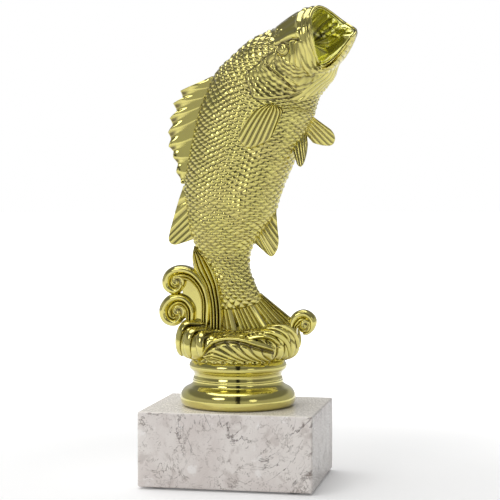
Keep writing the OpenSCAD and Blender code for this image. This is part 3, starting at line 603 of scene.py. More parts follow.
ends = 0.95 + 0.75 * left
fingers = (finger ** 0.6 - 1) * step(u, ends, ends - 0.4) * step(u, 0.0, 0.15) * 1.5 * low
flow = angle / 11 + 2.2 * np.sin(np.radians(angle * 2 + 160 * u)) + 3.4 * u
streak = np.abs(np.sin(flow * np.pi)) ** 0.8
streaks = 1.0 * (streak - 0.75) * step(u, 0.45, 0.7) * (1 - left)
# painted shade between the fingers and under the streaks of spray
between = 0.8 * (1 - finger) ** 2.5 * step(u, ends - 0.05, ends - 0.4) * low
under = 0.8 * (1 - streak) ** 2 * step(u, 0.5, 0.75) * (1 - left)
groove = np.clip(between + under, 0, 1)
points = base + way * (fingers + streaks)[..., None]
foot_row = turned([(SOCKET_R - GLUE, PEDESTAL_TOP - 3.0), (SOCKET_R - GLUE, PEDESTAL_TOP)], cols)
points = np.concatenate([foot_row, points])
groove = np.concatenate([np.zeros((2, cols)), groove])
parts = [(points, tube_faces(len(points), cols), groove)]

# strands on the front: places in degrees round the mound and up it, width and height; the back has the
# same, mirrored
FLAMES = [([(262, 0.78), (276, 1.00), (292, 1.08), (308, 1.05)], 2.6, 1.1),
          ([(268, 0.66), (282, 0.82), (298, 0.90), (314, 0.86)], 2.2, 1.0),
          ([(284, 0.70), (298, 0.76), (312, 0.70), (322, 0.52)], 2.4, 1.1),
          ([(296, 1.00), (312, 1.00), (326, 0.86), (336, 0.60)], 2.8, 1.2),
          ([(306, 0.84), (318, 0.78), (330, 0.58), (336, 0.30)], 2.6, 1.1),
          ([(318, 1.04), (334, 0.96), (346, 0.76), (352, 0.42)], 3.0, 1.3),
          ([(226, 0.24), (223, 0.62), (219, 0.92), (213, 1.16)], 5.0, 1.2),
          ([(243, 0.30), (240, 0.64), (233, 0.94), (222, 1.26)], 4.6, 1.2),
          ([(206, 0.24), (204, 0.60), (201, 0.90), (198, 1.12)], 5.2, 1.2),
          ([(280, 1.14), (296, 1.24), (314, 1.24), (330, 1.12)], 2.6, 1.3)]
for path, wide, tall in FLAMES:
    parts.append(strand(path, wide, tall))
    parts.append(strand([(360 - around, up) for around, up in path], wide, tall))
points, faces, groove = joined(parts)
gold_piece("wave_mound", points, faces, "wave_base", groove, sharp=60)

# Front crest
# A low arched wave on the front of the mound, with a thick rim and feathered spray under it, moulded
# as a raised patch and glued on.

CREST_TOP = [0.45, 0.76, 0.90, 0.90, 0.82, 0.70, 0.60, 0.52]
CREST_T, CREST_ROOT = 1.1, 0.2
CREST_FROM, CREST_SPAN = 248, 64

t = np.linspace(0, 1, 150)[:, None]
k = np.linspace(0, 1, 60)[None, :]
angle = CREST_FROM + CREST_SPAN * t
top = curve(CREST_TOP, t[:, 0])[:, None]
u = CREST_ROOT + (top - CREST_ROOT) * k
rim = hump(k - 0.86, 0.10)
slot = hump(k - 0.68, 0.07)
below_slot = 1 - step(k, 0.6, 0.75)
fan = np.abs(np.sin(np.pi * (9 * t + 4.5 * k * (1 - t) + 1.2 * np.sin(3 * k))))
thick = CREST_T + GLUE + 1.1 * rim + 1.2 * k + (0.9 * (np.sqrt(fan) - 0.6) * below_slot) - 0.8 * slot
ends = step(t, 0, 0.06) * step(t, 1, 0.94)
outer = mound(angle + 0 * k, u, CREST_T + GLUE + (thick - CREST_T - GLUE) * (0.35 + 0.65 * ends))
inner = mound(angle + 0 * k, u, 2 * GLUE)
loop = np.concatenate([outer, inner[:, ::-1]], 1)
# painted shade in the slot under the rim and between the feathers of spray
dark = np.clip(0.9 * slot + (1 - fan) ** 3 * below_slot, 0, 1)
dark = np.concatenate([dark, 0 * dark], 1)
gold_piece("crest_wave", loop, tube_faces(*loop.shape[:2]), "front_crest", dark, sharp=60)

# Curls and tall wave
# Bands of water that stand in the mound: two scrolls behind the fish's back, a small one beside its
# tail, and a leaf-shaped splash up its tail stalk. Each is moulded with long ridges on its faces.

CURL_T = 5.2
# paths as shares of the fish's height from its root, with the share of the band's width at each
UPPER = [(-0.110, -0.125, 0.45), (-0.110, -0.050, 0.50), (-0.110, 0.010, 0.56), (-0.124, 0.056, 0.65),
         (-0.152, 0.091, 0.74), (-0.180, 0.105, 0.86), (-0.210, 0.105, 0.98), (-0.234, 0.090, 1),
         (-0.238, 0.066, 1), (-0.222, 0.053, 0.75), (-0.206, 0.060, 0.52), (-0.204, 0.073, 0.4)]
LOWER = [(-0.164, -0.125, 0.5), (-0.164, -0.085, 0.5), (-0.164, -0.050, 0.52), (-0.166, -0.020, 0.6),
         (-0.183, 0.004, 0.68), (-0.207, 0.011, 0.82), (-0.232, 0.001, 1), (-0.248, -0.024, 1.05),
         (-0.243, -0.047, 1), (-0.225, -0.057, 0.75), (-0.209, -0.047, 0.52), (-0.208, -0.034, 0.4)]
RIGHT = [(0.197, -0.125, 0.5), (0.197, -0.095, 0.5), (0.197, -0.068, 0.5), (0.212, -0.046, 0.62),
         (0.232, -0.040, 0.66), (0.250, -0.054, 0.66), (0.253, -0.076, 0.58), (0.243, -0.091, 0.48),
         (0.229, -0.094, 0.35)]
# of each curl its path, the place of its swelling, that one's width, the curl's depth, the side of its
# fat roll, and how much fuller than the path's shares it is
CURLS = [("upper_scroll", "upper_curl", UPPER, (-0.212, 0.077), 8.0, 9.0, 1, 0.75),
         ("lower_scroll", "lower_curl", LOWER, (-0.208, -0.026), 8.0, 9.0, 1, 0.85),
         ("right_scroll", "right_curl", RIGHT, (0.236, -0.068), 6.8, 6.3, -1, 1.3)]
# the leaf's two edges and height, as shares of the fish's height from its root
LEAF = [(-0.092, -0.070, -0.125), (-0.092, -0.070, -0.090), (-0.093, -0.070, -0.040), (-0.094, -0.073, 0.000),
        (-0.100, -0.078, 0.035), (-0.113, -0.084, 0.070), (-0.142, -0.099, 0.115), (-0.152, -0.122, 0.152),
        (-0.153, -0.142, 0.180), (-0.151, -0.149, 0.200)]
LEAF_ROLLS = [(-0.72, 0.32, 0.80), (-0.22, 0.28, 0.92), (0.26, 0.26, 0.95), (0.74, 0.30, 0.86)]
LEAF_HALF_T = 5.4
WEB_HALF_T = 1.0


def ribbon(middle, across, half, deep, rolls):
    """A band carried along a path. Its faces are round rolls side by side, each given by its place across
    the band, its half width and its height, as shares of the band's; they meet in valleys."""
    cols = 180
    a = np.arange(cols) * TURN / cols
    x = np.cos(a)
    beads = [tall * np.sqrt(np.clip(1 - ((x - at) / wide) ** 2, 0, None)) for at, wide, tall in rolls]
    first, second = np.sort(beads, 0)[-1], np.sort(beads, 0)[-2]
    y = np.sign(np.sin(a)) * np.maximum(first, 0.5 * np.abs(np.sin(a)))
    sideways = across[:, None] * (half[:, None] * x)[..., None]
    points = middle[:, None] + sideways + np.array([0, 1.0, 0]) * (deep[:, None] * y)[..., None]
    # painted shade in the valleys where the rolls meet
    groove = 0.85 * hump(first - second, 0.16) * (np.abs(x) < 0.9) + 0 * half[:, None]
    return points, tube_faces(len(middle), cols), groove


def path_way(table, u):
    """Direction of a path at the places u, in X and Z, from the points a little ahead and behind."""
    ahead, behind = curve(table, np.minimum(u + 0.01, 1)), curve(table, np.maximum(u - 0.01, 0))
    way = side_point(ahead[:, :2]) - side_point(behind[:, :2])
    return way / np.linalg.norm(way, axis=-1, keepdims=True)


def scroll(table, width, outer, fuller):
    """A curl: the band follows its path, and its end is rounded off. Its outer side is a fat roll."""
    tip = np.linspace(0, np.pi / 2, 9)[1:]
    u = np.concatenate([np.linspace(0, 0.985, 150), 1 - 0.015 * (1 - np.sin(tip))])
    close = np.concatenate([np.ones(150), np.cos(tip) + 0.02])
    at = curve(table, u)
    plan, way = side_point(at[:, :2]), path_way(table, u)
    middle = np.stack([plan[:, 0], 0 * u, plan[:, 1]], -1)
    across = np.stack([way[:, 1], 0 * u, -way[:, 0]], -1)
    half = at[:, 2] * CURL_T / 2 + fuller * step(at[:, 1], -0.09, -0.05)
    rolls = [(0.42 * outer, 0.60, 1.0), (-0.30 * outer, 0.25, 0.84), (-0.74 * outer, 0.28, 0.72)]
    return ribbon(middle, across, half * close, width / 2 * (1 - 0.2 * u) * close, rolls)


def swirl(place, across, thick):
    """The swelling in the middle of a curl, a flattened ball whose faces carry a spiral ridge."""
    rings, cols, turns = 61, 96, 1.3
    lift = np.linspace(-np.pi / 2, np.pi / 2, rings)[:, None]
    a = np.arange(cols)[None, :] * TURN / cols
    out = np.cos(lift)
    ridge = np.cos(TURN * (out * turns - np.sign(np.sin(lift)) * a / TURN))
    r = across / 2 * out
    y = thick / 2 * np.sin(lift) * (1 + 0.16 * ridge * step(out, 0.1, 0.3) * step(out, 0.98, 0.8))
    x0, z0 = side_point(place)
    points = np.stack([x0 + r * np.cos(a), y + 0 * a, z0 + r * np.sin(a)], -1)[1:-1]
    # painted shade along the spiral's valley
    dark = np.clip(-ridge, 0, 1)[1:-1] ** 1.5 * 0.9
    return points, tube_faces(rings - 2, cols), dark


for name, node, table, place, across, width, outer, fuller in CURLS:
    points, faces, groove = joined([scroll(table, width, outer, fuller), swirl(place, across, width * 0.84)])
    gold_piece(name, points, faces, node, groove, sharp=70)

u = np.linspace(0, 1, 160)
leaf = curve(LEAF, u) * FISH_H
left = leaf[:, 0] - 0.4 - 0.5 * step(u, 0.2, 0.5) * step(u, 0.95, 0.7)
right = leaf[:, 1] + 2.4 * step(u, 0.99, 0.8)
middle = np.stack([(left + right) / 2, 0 * u, ROOT_Z + leaf[:, 2]], -1)
across = np.tile([1.0, 0, 0], (len(u), 1))
deep = LEAF_HALF_T * (1 - 0.45 * u) * (0.25 + 0.75 * step(u, 1.0, 0.85))
points, faces, groove = ribbon(middle, across, np.maximum((right - left) / 2, 0.15), deep, LEAF_ROLLS)
gold_piece("leaf_wave", points, faces, "tall_wave", groove, sharp=70)


def plate(outline, half, ease=0.2):
    """Rows of a thin flat piece on the middle plane, from its outline in X and Z, with eased edges."""
    inward = np.roll(outline, -1, 0) - np.roll(outline, 1, 0)
    inward = np.stack([-inward[:, 1], inward[:, 0]], -1)
    inward /= np.linalg.norm(inward, axis=-1, keepdims=True)
    area = outline[:, 0] * np.roll(outline[:, 1], -1) - outline[:, 1] * np.roll(outline[:, 0], -1)
    inward *= np.sign(np.sum(area))
    rows = []
    for inset, y in ((ease, half), (0.0, half - ease), (0.0, ease - half), (ease, -half)):
        flat = outline + inward * inset
        rows.append(np.stack([flat[:, 0], np.full(len(flat), y), flat[:, 1]], -1))
    return np.array(rows)


def band_edge(table, u, side):
    """A stretch of a curl's edge, a little inside it, on one side of its path."""
    way, at = path_way(table, u), curve(table, u)
    out = side * np.stack([way[:, 1], -way[:, 0]], -1)
    return side_point(at[:, :2]) + out * (at[:, 2:] * CURL_T / 2 - 0.3)


outline = [band_edge(UPPER, np.linspace(0.05, 0.50, 20), -1),
           band_edge(LOWER, np.linspace(0.42, 0.08, 16), 1)]
web = plate(np.concatenate(outline), WEB_HALF_T)
faces = tube_faces(*web.shape[:2])
piece("curl_web", web, faces, "figure", ["wave_web"], "gold_plating", plated, sharp=30)

# Tail fin
# The spread tail stands in the mound, its root in the open end of the body. Rays fan out from the
# root as moulded ridges on both faces.

TAIL_ROOT = [(-0.064, 0.016), (-0.020, 0.022), (0.034, 0.032), (0.080, 0.040)]
TAIL_EDGE = [(-0.066, -0.124), (-0.025, -0.124), (0.020, -0.124), (0.065, -0.124), (0.110, -0.124),
             (0.155, -0.122), (0.183, -0.085), (0.184, -0.042)]
TAIL_HALF_T = 1.45


def two_faced(name, face, back, face_dark, back_dark, node):
    """Closes the two faces of a thin piece, grids of one size, into one skin."""
    loop = np.concatenate([face, back[:, ::-1]], 1)
    dark = np.concatenate([face_dark, back_dark[:, ::-1]], 1)
    width = loop.shape[1]
    j = np.arange(face.shape[1] - 1)
    cap = np.stack([j, j + 1, width - 2 - j, width - 1 - j], -1)
    faces = [grid_quads(len(loop), width, wrap_cols=True), cap, cap + (len(loop) - 1) * width]
    gold_piece(name, loop, faces, node, dark, sharp=75)


def fin(name, middle, thick, groove, node, bend=0.0):
    """A fin with a thickness to each side of its middle surface, which may be bent sideways."""
    out = np.array([0, 1.0, 0])
    bend = np.asarray(bend)[..., None] * out
    face, back = middle + out * thick[..., None] + bend, middle - out * thick[..., None] + bend
    two_faced(name, face, back, groove, groove, node)


def flat_points(table):
    """Points on the middle plane from shares of the fish's height."""
    p = side_point(table)
    return np.stack([p[:, 0], 0 * p[:, 0], p[:, 1]], -1)


def straight(table, u):
    """Points along a broken line, at positions from 0 to 1 by its entries."""
    table = np.asarray(table, float)
    t = np.asarray(u, float) * (len(table) - 1)
    i = np.clip(np.floor(t).astype(int), 0, len(table) - 2)
    f = (t - i)[..., None]
    return table[i] * (1 - f) + table[i + 1] * f


tail_root = flat_points(TAIL_ROOT)
t = np.linspace(0, 1, 300)[:, None]
r = np.linspace(0, 1, 60)[None, :]
a = curve(tail_root, t[:, 0])[:, None]
b = flat_points(straight(TAIL_EDGE, t[:, 0]))[:, None]
middle = a + (b - a) * r[..., None]
count = 14.5 * t + 0.32 * np.sin(TURN * 2.3 * t) + 0.16 * np.sin(TURN * 5.1 * t + 1)
ray = np.abs(np.cos(np.pi * count)) ** 1.1
thin = np.sqrt(np.clip((1 - r) / 0.03, 0.03, 1)) * np.sqrt(np.clip(np.minimum(t, 1 - t) / 0.008, 0.05, 1))
thick = (TAIL_HALF_T - 0.75 * (1 - ray) * step(r, 0.0, 0.12) * step(r, 1.0, 0.9)) * thin
# painted shade between the rays
fin("tail_rays", middle, thick, (1 - ray) ** 2 * step(r, 0.02, 0.15) * 0.75, "tail_fin")

# Body halves
# Two shells moulded with every scale, the gill cover, the eye and the jaw, glued along the back and
# the belly. Each runs from the tail root to a rounded lip.

SCALE_W, SCALE_L = 4.3, 1.14
END = 0.994
EYE_R = 2.1
# places are shares of the way along the body, and degrees round it from the back to the belly
GILL_EDGE = [(0.791, 64), (0.713, 67), (0.645, 68), (0.601, 80), (0.567, 90), (0.569, 104), (0.590, 123)]
PRE_EDGE = [(0.716, 76), (0.696, 94), (0.669, 110), (0.630, 129)]
THROAT = [(0.589, 123), (0.642, 138), (0.746, 142), (0.807, 153)]
BROW = [(0.816, 51), (0.851, 54), (0.883, 54), (0.921, 56)]
UNDER_BROW = [(0.814, 56), (0.861, 59), (0.893, 62), (0.919, 67)]
EYE = (0.826, 68)
CHEEK = (0.902, 84)
# raised lines, each with its width and height: lobes under the eye, the jaw's ridges, the snout's
# bulges and crease, seams on the flank
LINES = [([(0.876, 66), (0.848, 82), (0.806, 93)], 0.80, 0.85),
         ([(0.899, 72), (0.868, 88), (0.812, 103)], 0.80, 0.85),
         ([(0.920, 74), (0.893, 90), (0.862, 106), (0.782, 128)], 0.75, 0.8),
         ([(0.942, 2), (0.939, 36), (0.936, 67), (0.919, 93), (0.841, 125)], 0.95, 0.55),
         ([(0.970, 2), (0.964, 36), (0.955, 73), (0.950, 96), (0.880, 130)], 0.85, 0.5),
         ([(0.982, 30), (0.975, 81), (0.976, 104), (0.905, 137)], 0.60, 0.5),
         ([(0.833, 2), (0.865, 5), (0.905, 13)], 0.35, 0.2),
         ([(0.845, 17), (0.885, 16), (0.928, 14)], 1.9, 0.6),
         ([(0.850, 38), (0.885, 38), (0.930, 34)], 1.7, 0.5),
         ([(0.744, 79), (0.709, 93), (0.690, 108), (0.671, 126)], 0.35, 0.3),
         ([(0.429, 78), (0.419, 90), (0.404, 102)], 0.22, 0.28),
         ([(0.415, 67), (0.399, 86), (0.379, 103)], 0.22, 0.28)]
DOTS = [(0.840, 25), (0.854, 32), (0.831, 34)]


def tiles(x, y, bulge, gap=0.7):
    """Staggered scales like roof tiles. x counts their widths and y their rows; the free edge of each is an
    arc that bulges by a share of a row. Between the two edges over it and its own, a scale is a cushion,
    which falls by the share gap towards its sides. Returns the height, from 0 to 1, how close to an edge a
    place is, and a number of its own for each scale."""
    row = np.floor(y)
    f = y - row
    off = lambda k: np.mod(x + 0.5 * np.mod(k, 2), 1) - 0.5
    arc = lambda o: bulge * (1 - np.abs(2 * o) ** 1.6)
    over, edge, under = arc(off(row - 1)) - 1, arc(off(row)), arc(off(row + 1)) + 1
    own = f < edge
    top, bottom = np.where(own, over, edge), np.where(own, edge, under)
    its_row = np.where(own, row, row + 1)
    o, size = off(its_row), bottom - top
    q = (f - top) / np.maximum(size, 0.02)
    height = np.where(q < 0.68, 1 - (1 - q / 0.68) ** 2, 1 - 0.9 * ((q - 0.68) / 0.32) ** 2)
    height = height * (1 - gap * np.abs(2 * o) ** 3.4) * (size / (1 + bulge)) ** 0.5
    close = hump(q * size, 0.30) + 0.7 * hump((1 - q) * size, 0.22)
    its_place = np.floor(x + 0.5 * np.mod(its_row, 2))
    own_number = np.mod(np.sin(its_row * 12.9898 + its_place * 78.233) * 43758.5, 1)
    tilt = 1 + 1.5 * (own_number - 0.5) * o + 0.9 * (np.mod(own_number * 7.3, 1) - 0.5) * (q - 0.5)
    return height * tilt, close, own_number


def lay(places, side, count=60):
    """Points on the skin along a line of places."""
    at = curve(places, np.linspace(0, 1, count))
    return skin(at[:, 0], at[:, 1], side)


def relief(s, v, side):
    """Height of the moulding over the plain skin, in millimetres, and the painted shade in its grooves."""
    plain = skin(s, v, side)
    length = np.linalg.norm(np.diff(skin(s[:, 0], 90.0, side), axis=0), axis=-1)
    girth = np.linalg.norm(np.diff(plain, axis=1), axis=-1)
    around = np.concatenate([0 * s[:, :1], np.cumsum(girth, 1)], 1)
    to_back, to_belly = around.copy(), around[:, -1:] - around
    middle = np.argmin(np.abs(v[0] - 88))
    around = around - around[:, middle:middle + 1]
    to_lip = np.linalg.norm(plain - skin(END, v, side), axis=-1)
    # scales of the body, a little uneven, each set a little higher or lower than its neighbours
    rows = np.concatenate([[0], np.cumsum(length / SCALE_L)])[:, None]
    stray = 0.16 * np.sin(rows * 0.9 + 1.3 * np.sin(around * 0.35))
    stray = stray + 0.12 * np.sin(around * 0.8 + rows * 0.31)
    width = SCALE_W * (0.80 + 0.20 * step(s, 0.0, 0.35))
    height, under, number = tiles(around / width + 0.05 * stray + 40, -rows + 400 + stray, 1.0)
    gill = nearest(plain, lay(GILL_EDGE, side))
    pre = nearest(plain, lay(PRE_EDGE, side))
    throat = nearest(plain, lay(THROAT, side))
    eye = np.linalg.norm(plain - skin(*EYE, side), axis=-1)
    cover = within(s, v, GILL_EDGE + THROAT[1:] + [(0.90, 146), (1.01, 140), (1.01, 50), (0.86, 50)])
    jaw_end = [(0.90, 142), (1.01, 136), (1.01, 181), (0.716, 181), (0.635, 162), (0.583, 139)]
    jaw = within(s, v, THROAT + jaw_end)
    snout = step(s, 0.805, 0.825) * (v < 64)
    body = (1 - np.clip(snout + cover + jaw, 0, 1)) * step(to_back, 0.3, 1.2) * step(to_belly, 0.3, 1.2)
    h = (0.52 + 0.22 * number) * height * body
    # painted shade along the edges of the scales
    dark = 0.75 * under * body * (0.6 + 0.5 * number)
    # rows of the gill cover and the cheek, arcs round a place ahead of them
    heart = skin(*CHEEK, side)
    back_way = skin(0.70, 96.0, side) - heart
    back_way /= np.linalg.norm(back_way)
    side_way = np.cross(skin_way(np.array(CHEEK[0]), np.array(CHEEK[1] + 0.0), side), back_way)
    reach = np.linalg.norm(plain - heart, axis=-1)
    turn = np.arctan2((plain - heart) @ side_way, (plain - heart) @ back_way)
    pitch = 1.5 + 0.3 * step(reach, 10, 15)
    ch, cu, number = tiles(reach * turn / 2.6 + 40, reach / pitch + 0.12 * np.sin(turn * 9), 0.25, 0.25)
    cheek = cover * (1 - jaw) * step(s, 0.80, 0.785) * step(eye, 2.6, 3.2) * step(gill, 0.45, 0.9)
    h += (0.36 + 0.14 * number) * ch * cheek
    # painted shade along the edges of the cheek's scales
    dark += 0.8 * cu * cheek
    # the gill cover stands over the body, and the cheek over the gill cover
    h += cover * (1 - jaw) * 0.75 * np.exp(-gill / 7.0) * step(gill, 0, 0.35)
    # painted shade along the gill cover's edge
    dark += 0.9 * hump(gill, 0.30) * (s < 0.79)
    h += 0.35 * hump(pre - 0.8, 0.5) * cover - 0.30 * hump(pre, 0.35)
    # painted shade in the preopercle's groove
    dark += 0.7 * hump(pre, 0.32)
    # throat: long smooth stripes
    stripes = np.abs(np.sin(np.pi * throat / 2.3))
    h += jaw * 0.42 * stripes * step(throat, 0.2, 0.9)
    # painted shade between the throat's stripes and along its edge
    dark += jaw * 0.55 * (1 - stripes) ** 3 + 0.6 * hump(throat, 0.3)
    # raised lines, brow, nostrils and eye
    for line, wide, tall in LINES:
        off = nearest(plain, lay(line, side, 30))
        h += tall * hump(off, wide)
        # painted shade beside the narrower raised lines, and less painted shade on the lines themselves
        shade = (0.45 if 0.3 < wide < 1.2 else 0) * hump(off - 1.55 * wide, 0.28)
        dark = np.where(off < 1.5 * wide, dark * 0.3, dark) + shade * (s > 0.7)
    brow = nearest(plain, lay(BROW, side))
    under_brow = nearest(plain, lay(UNDER_BROW, side))
    h += 1.0 * hump(brow, 1.5) - 0.55 * hump(under_brow, 0.6)
    # painted shade in the crease under the brow
    dark += 0.9 * hump(under_brow, 0.45)
    for spot in DOTS:
        h += 0.35 * hump(np.linalg.norm(plain - skin(*spot, side), axis=-1), 0.6)
    ball = np.sqrt(np.clip(1 - (eye / EYE_R) ** 2, 0, 1))
    h += 1.0 * ball - 0.40 * hump(eye - 2.4, 0.35) - 0.20 * hump(eye - 1.2, 0.22)
    # painted shade in the rings round the eye
    dark += 0.85 * hump(eye - 2.4, 0.35) + 0.7 * hump(eye - 1.2, 0.24)
    h *= step(to_lip, 0.1, 0.8) * step(to_back, 0.0, 0.5) * step(to_belly, 0.0, 0.5)
    return h, np.clip(dark, 0, 1)


def tail_end(points, s, v):
    """Draws the last scales down over the tail's root and thins them towards it."""
    end = np.clip(1 - s / 0.09, 0, None) ** 2
    points[..., 1] *= 1 - 0.45 * end
    points[..., 2] -= 3.2 * end * np.sin(np.radians(v)) ** 0.7
    return points


def even_places(side, count):
    """Places along the body that lie evenly far apart on its flank, and closer on the head."""
    s = np.linspace(0, 1, 2001)
    step_by = np.linalg.norm(np.diff(skin(s, 90.0, side), axis=0), axis=-1)
    step_by = step_by * (1 + 0.7 * step(s[1:], 0.56, 0.66))
    length = np.concatenate([[0], np.cumsum(step_by)])
    return np.interp(np.linspace(0, length[-1], count), length, s)


def zipped(fine, coarse, each):
    """Triangles between a fine row of points and a coarse one with one point to each few of the fine."""
    fine, coarse = np.asarray(fine), np.asarray(coarse)
    i = np.arange(len(fine) - 1)
    a = np.stack([fine[i], fine[i + 1], coarse[np.minimum((i + each // 2) // each, len(coarse) - 1)]], -1)
    j = np.arange(len(coarse) - 1)
    b = np.stack([coarse[j], coarse[j + 1], fine[np.minimum(j * each + each - each // 2, len(fine) - 1)]], -1)
    return [a, b]


def body_half(side):
    """One shell: a fine outer grid that rolls over the lip, a coarse inner one, and a closed border."""
    each, rows, cols, roll = 8, 512, 176, 8
    s = even_places(side, rows + 1)[:, None] * END
    v = np.linspace(0.35, 179.65, cols + 1)[None, :]
    s, v = s + 0 * v, v + 0 * s
    h, dark = relief(s, v, side)
    outer = tail_end(skin(s, v, side) + skin_way(s, v, side) * h[..., None], s, v)
    bend = np.linspace(0, np.pi, roll + 1)[1:, None, None]
    thin = wall_at(END)
    lip, wall = outer[-1], skin(END, v[0], side, thin)
    last = skin(END, v[0], side)
    ahead = np.cross(np.gradient(last, axis=0), wall - lip)
    ahead /= np.linalg.norm(ahead, axis=-1, keepdims=True)
    ahead *= np.sign(np.sum(ahead * (last - skin(END - 0.01, v[0], side)), -1, keepdims=True))
    rolled = lip + (wall - lip) * (1 - np.cos(bend)) / 2 + ahead * np.sin(bend) * thin / 2
    outer = np.concatenate([outer, rolled])
    dark = np.concatenate([dark, np.zeros((roll, cols + 1))])
    total = rows + 1 + roll
    s_in = s[::each, :1].copy()
    s_in[-1] -= 0.004
    v_in = v[0, ::each][None, :]
    s_in, v_in = s_in + 0 * v_in, v_in + 0 * s_in
    inner = tail_end(skin(s_in, v_in, side, wall_at(s_in)), s_in, v_in)
    start = total * (cols + 1)
    n_in, c_in = inner.shape[:2]
    grid = np.arange(total * (cols + 1)).reshape(total, cols + 1)
    grid_in = start + np.arange(n_in * c_in).reshape(n_in, c_in)
    faces = [grid_quads(total, cols + 1), grid_quads(n_in, c_in) + start]
    faces += zipped(grid[0], grid_in[0], each)
    faces += zipped(grid[-1], grid_in[-1], each)
    for edge in (0, -1):
        faces += zipped(grid[:rows + 1, edge], grid_in[:, edge], each)
        tail = grid[rows:, edge]
        faces += [np.stack([tail[:-1], tail[1:], np.full(len(tail) - 1, grid_in[-1, edge])], -1)]
    points = np.concatenate([outer.reshape(-1, 3), inner.reshape(-1, 3)])
    return points, faces, np.concatenate([dark.ravel(), np.zeros(inner.shape[0] * inner.shape[1])])


for side, name, node in ((-1, "right_body", "fish_right_half"), (1, "left_body", "fish_left_half")):
    points, faces, dark = body_half(side)
    gold_piece(name, points, faces, node, dark)

# Mouth lining
# A cup set inside the lips: ridged roof, gill rakers on both walls, a tongue ridge and a throat darkened with
# painted shade.

CUP_LOW, CUP_LIP = 0.85, 0.992
rows, cols = 60, 480
k = np.arange(cols) * 360 / cols
# painted light: a paler copy of the gold film stands in for light inside the mouth; its second colour is the
# painted shade
painted_lit_gold = gold_material("painted_lit_gold_film", rgb(250, 250, 146), rgb(96, 90, 48), 0.03, 0.14)


def lining(t, extra):
    """Ring of the lining at a share of its depth, from its throat to the lips, and a distance inside."""
    s = CUP_LOW + (CUP_LIP - CUP_LOW) * t
    inside = wall_at(s) + 0.25 + extra + (1 - t) ** 2 * FISH_W * 0.12
    right = skin(s + 0 * k, np.minimum(k, 180), -1, inside + 0 * k)
    left = skin(s + 0 * k, np.minimum(360 - k, 180), 1, inside + 0 * k)
    return np.where((k <= 180)[:, None], right, left)


t_out = np.linspace(0, 1, 10)
t_in = np.linspace(1, 0.15, rows)
outside = [lining(t, 0.0) for t in t_out]
shell = np.array(outside + [lining(t, 0.25 + 0.95 * (1 - t) ** 0.5) for t in t_in])
fold = np.abs(180 - np.abs(k - 180))
raker = np.sin(np.radians(k) * 10) ** 2 * hump(fold - 84, 30)
tongue = hump(180 - fold, 7) + 0.6 * hump(k - 215, 6) + 0.6 * hump(k - 250, 7)
jaws = hump(fold - 152, 9) + hump(fold - 132, 6)
roof = np.cos(np.radians(k) * 5) ** 2 * step(fold, 50, 25)
fine = t_in[:, None]
wavy = hump(fold - 100 - 14 * np.sin(fine * 17), 8) * (k > 180)
height = (1.1 * raker * step(fine, 0.95, 0.80) * step(fine, 0.2, 0.4)
          + 2.8 * tongue * step(fine, 1.0, 0.85) + 0.7 * jaws * step(fine, 0.98, 0.85)
          + 0.7 * roof * step(fine, 0.96, 0.8) + 0.9 * wavy * step(fine, 0.9, 0.75))
core = shell.mean(1, keepdims=True)
to_core = core - shell
to_core /= np.maximum(np.linalg.norm(to_core, axis=-1, keepdims=True), 1e-9)
full = np.concatenate([np.zeros((len(t_out), cols)), height])
shell = shell + to_core * full[..., None]
# the floor of the bowl, a shallow dome whose ribs run together
last, back_in = shell[-1], core[len(t_out):][-1] - core[len(t_out):][-8]
shrink = np.linspace(0, 1, 15)[1:-1, None, None]
dome = back_in * np.sqrt(np.clip(1 - (1 - shrink) ** 2, 0, 1)) * 0.9
floor_rows = last + (last.mean(0) - last) * shrink + dome
shell = np.concatenate([shell, floor_rows])
# painted shade between the rakers, deeper in the throat and beside the tongue
between = np.cos(np.radians(k) * 10) ** 4 * hump(fold - 84, 34) * 0.95 * step(fine, 0.97, 0.8)
deep_in = 0.5 * step(fine, 0.45, 0.2) * hump(fold - 70, 50)
beside_tongue = 0.7 * hump(fold - 170, 3) * step(fine, 1, 0.9)
dark = np.clip(between + deep_in + beside_tongue, 0, 1)
dark = np.concatenate([np.zeros((len(t_out), cols)), dark, dark[-1:] + np.zeros((len(floor_rows), cols))])
faces = tube_faces(*shell.shape[:2])
piece("mouth_cup", shell, faces, "figure", ["mouth_lining"], "dark_gold", painted_lit_gold, sharp=80, groove=dark)

# Dorsal and anal fins
# Thin moulded plates whose roots are held between the body halves: a spiny one with a saw-toothed
# edge and flat webs, a soft one with long rays, and the anal fin.

# outlines as shares of the fish's height ahead of and above its root
SPINY = [(-0.090, 0.784), (-0.137, 0.765), (-0.202, 0.735), (-0.196, 0.712), (-0.228, 0.692), (-0.217, 0.666),
         (-0.240, 0.641), (-0.232, 0.618), (-0.246, 0.592), (-0.238, 0.569), (-0.244, 0.543), (-0.229, 0.526),
         (-0.227, 0.503), (-0.213, 0.483), (-0.217, 0.454), (-0.203, 0.429), (-0.199, 0.415)]
SOFT = [(-0.192, 0.408), (-0.212, 0.350), (-0.230, 0.291), (-0.243, 0.243), (-0.246, 0.221), (-0.238, 0.207),
        (-0.220, 0.203), (-0.188, 0.212), (-0.160, 0.222)]
ANAL = [(0.134, 0.330), (0.139, 0.264), (0.143, 0.221), (0.137, 0.187), (0.117, 0.165), (0.088, 0.186),
        (0.062, 0.212)]


def root_line(low, high, on_back, deep=2.0, count=12):
    """The line along the back or the belly, a little inside it, where a fin's root is held."""
    s = np.linspace(low, high, count)
    back, belly = side_point(curve(BACK, s)), side_point(curve(BELLY, s))
    up = (back - belly) / np.linalg.norm(back - belly, axis=-1, keepdims=True)
    p = back - up * deep if on_back else belly + up * deep
    return np.stack([p[:, 0], 0 * s, p[:, 1]], -1)


